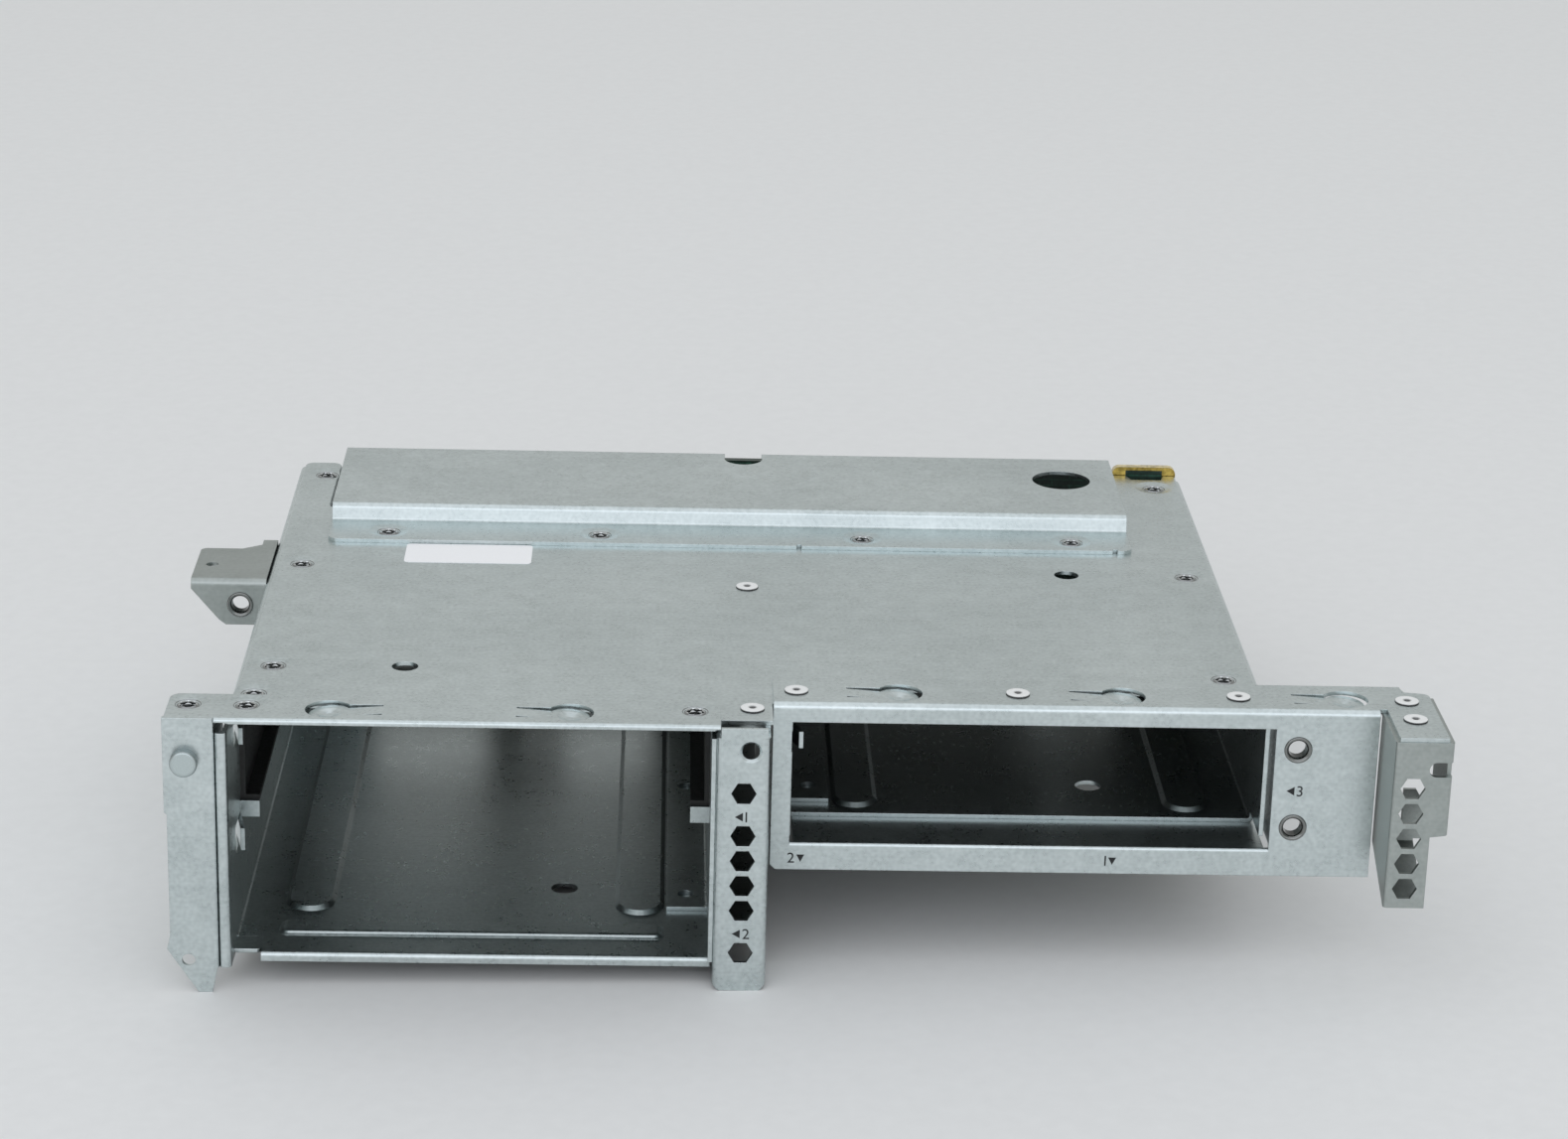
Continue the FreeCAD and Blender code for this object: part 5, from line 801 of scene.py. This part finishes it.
class CAGE_OT_marks(bpy.types.Operator):
    """Prints the plain bay numbers with their arrows"""
    bl_idname = "cage.marks"
    bl_label = "Printed marks"

    def execute(self, context):
        look, sizes = context.scene.cage_finishes, context.scene.cage_sizes
        ink = paper("Screen-printed ink", look.ink, rough=0.5, fibre=0.4)
        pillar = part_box("centre_pillar")[0].y
        panel = next(m["pos_m"][1] for m in frame["record"]["mounts"] if m["name"] == "frame_bushings")
        high = sizes.digit_high
        # Each mark's left end and middle height, in millimetres, with the front of its sheet between them.
        for name, digit, left, x, y, z in (("mark_one", "1", True, -13.9, pillar, 44.75),
                                           ("mark_two", "2", True, -14.0, pillar, 16.1),
                                           ("mark_three", "3", True, 112.0, panel, 46.9),
                                           ("mark_right_two", "2", False, -1.4, panel, 28.7),
                                           ("mark_right_one", "1", False, 71.3, panel, 29.0)):
            mesh = printed(name, digit, high, left)
            mesh.transform(Matrix.Rotation(math.pi / 2, 4, "X"))
            mesh.transform(Matrix.Translation((x * MM, y - sizes.ink_lift, z * MM - high / 2)))
            new_piece(name, mesh, ink)
        return {"FINISHED"}


class CAGE_OT_stage(bpy.types.Operator):
    """Sets the floor, the soft light and the camera"""
    bl_idname = "cage.stage"
    bl_label = "Stage"

    def execute(self, context):
        scene, stage = context.scene, context.scene.cage_stage
        scene.view_settings.view_transform = "Standard"
        # The floor passes through the flange's tip, the pillar's foot and the back edge of the left tray.
        tip = Vector((-132.8, -98.25, 0.0)) * MM
        foot = Vector((-12.2, -98.25, 2.0)) * MM
        heel = Vector((-6.3, 88.0, 7.4)) * MM
        up = (foot - tip).cross(heel - tip).normalized()
        deep = up.cross(Vector((1.0, 0.0, 0.0))).normalized()
        side = deep.cross(up)
        half = stage.floor_wide / 2
        corners = [tip + a * half * side + b * half * deep for a, b in ((-1, -1), (1, -1), (1, 1), (-1, 1))]
        mesh = bpy.data.meshes.new("floor")
        mesh.from_pydata(corners, [], [(0, 1, 2, 3)])
        mesh.materials.append(paper("Painted board", scene.cage_finishes.floor, rough=0.7, fibre=4.0))
        floor = bpy.data.objects.new("floor", mesh)
        scene.collection.objects.link(floor)
        # Even light from all round, with a large soft lamp above and one in front.
        world = bpy.data.worlds.new("Studio")
        world.use_nodes = True
        tree = world.node_tree
        tree.nodes.clear()
        sky = add(tree, "ShaderNodeBackground", {"Color": stage.world_tint, "Strength": stage.world})
        add(tree, "ShaderNodeOutputWorld", {"Surface": sky.outputs[0]})
        scene.world = world
        low, high = CAD_BOX
        middle = Vector(((low[0] + high[0]) / 2, (low[1] + high[1]) / 2, high[2] / 2))
        for name, place, wide, tall, power in (("Key lamp", (-0.2, -0.5, 1.8), 3.0, 4.4, stage.key),
                                               ("Front lamp", (-0.1, -2.4, 1.0), 4.0, 1.6, stage.front)):
            light = bpy.data.lights.new(name, "AREA")
            light.shape = "RECTANGLE"
            light.size, light.size_y, light.energy, light.color = wide, tall, power, stage.lamp_tint[:3]
            lamp = bpy.data.objects.new(name, light)
            lamp.location = place
            lamp.rotation_euler = (middle - lamp.location).to_track_quat("-Z", "Y").to_euler()
            scene.collection.objects.link(lamp)
        eye = bpy.data.cameras.new("Camera")
        eye.sensor_width = 36.0
        eye.lens = stage.lens
        eye.clip_start = 0.01
        camera = bpy.data.objects.new("Camera", eye)
        turn = Matrix.Rotation(stage.yaw, 3, "Z") @ Matrix.Rotation(math.pi / 2 - stage.pitch, 3, "X")
        turn = turn @ Matrix.Rotation(stage.roll, 3, "Z")
        camera.matrix_world = Matrix.Translation(stage.camera) @ turn.to_4x4()
        scene.collection.objects.link(camera)
        scene.camera = camera
        return {"FINISHED"}


OPERATORS = (CAGE_OT_sheet, CAGE_OT_bead, CAGE_OT_corner, CAGE_OT_rails, CAGE_OT_board, CAGE_OT_contacts,
             CAGE_OT_screws, CAGE_OT_board_screws, CAGE_OT_rivets, CAGE_OT_bushings, CAGE_OT_label, CAGE_OT_marks,
             CAGE_OT_stage)


class CAGE_PT_panel(bpy.types.Panel):
    """Lists the cage's pieces, colours and sizes"""
    bl_idname = "CAGE_PT_panel"
    bl_label = "Hard drive cage"
    bl_space_type = "VIEW_3D"
    bl_region_type = "UI"
    bl_category = "Drive Cage"

    def draw(self, context):
        for operator in OPERATORS:
            self.layout.operator(operator.bl_idname)
        for group in (context.scene.cage_finishes, context.scene.cage_sizes, context.scene.cage_stage):
            column = self.layout.column()
            for key in group.bl_rna.properties.keys():
                if key not in ("rna_type", "name"):
                    column.prop(group, key)


CLASSES = (CageFinishes, CageSizes, CageStage) + OPERATORS + (CAGE_PT_panel,)


def register():
    for item in CLASSES:
        bpy.utils.register_class(item)
    bpy.types.Scene.cage_finishes = bpy.props.PointerProperty(type=CageFinishes)
    bpy.types.Scene.cage_sizes = bpy.props.PointerProperty(type=CageSizes)
    bpy.types.Scene.cage_stage = bpy.props.PointerProperty(type=CageStage)


def unregister():
    for name in ("cage_finishes", "cage_sizes", "cage_stage"):
        delattr(bpy.types.Scene, name)
    for item in reversed(CLASSES):
        bpy.utils.unregister_class(item)


def main():
    """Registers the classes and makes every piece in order."""
    register()
    bpy.ops.cage.sheet()
    bpy.ops.cage.bead()
    bpy.ops.cage.corner()
    bpy.ops.cage.rails()
    bpy.ops.cage.board()
    bpy.ops.cage.contacts()
    bpy.ops.cage.screws()
    bpy.ops.cage.board_screws()
    bpy.ops.cage.rivets()
    bpy.ops.cage.bushings()
    bpy.ops.cage.label()
    bpy.ops.cage.marks()
    bpy.ops.cage.stage()


if __name__ == "__main__":
    main()
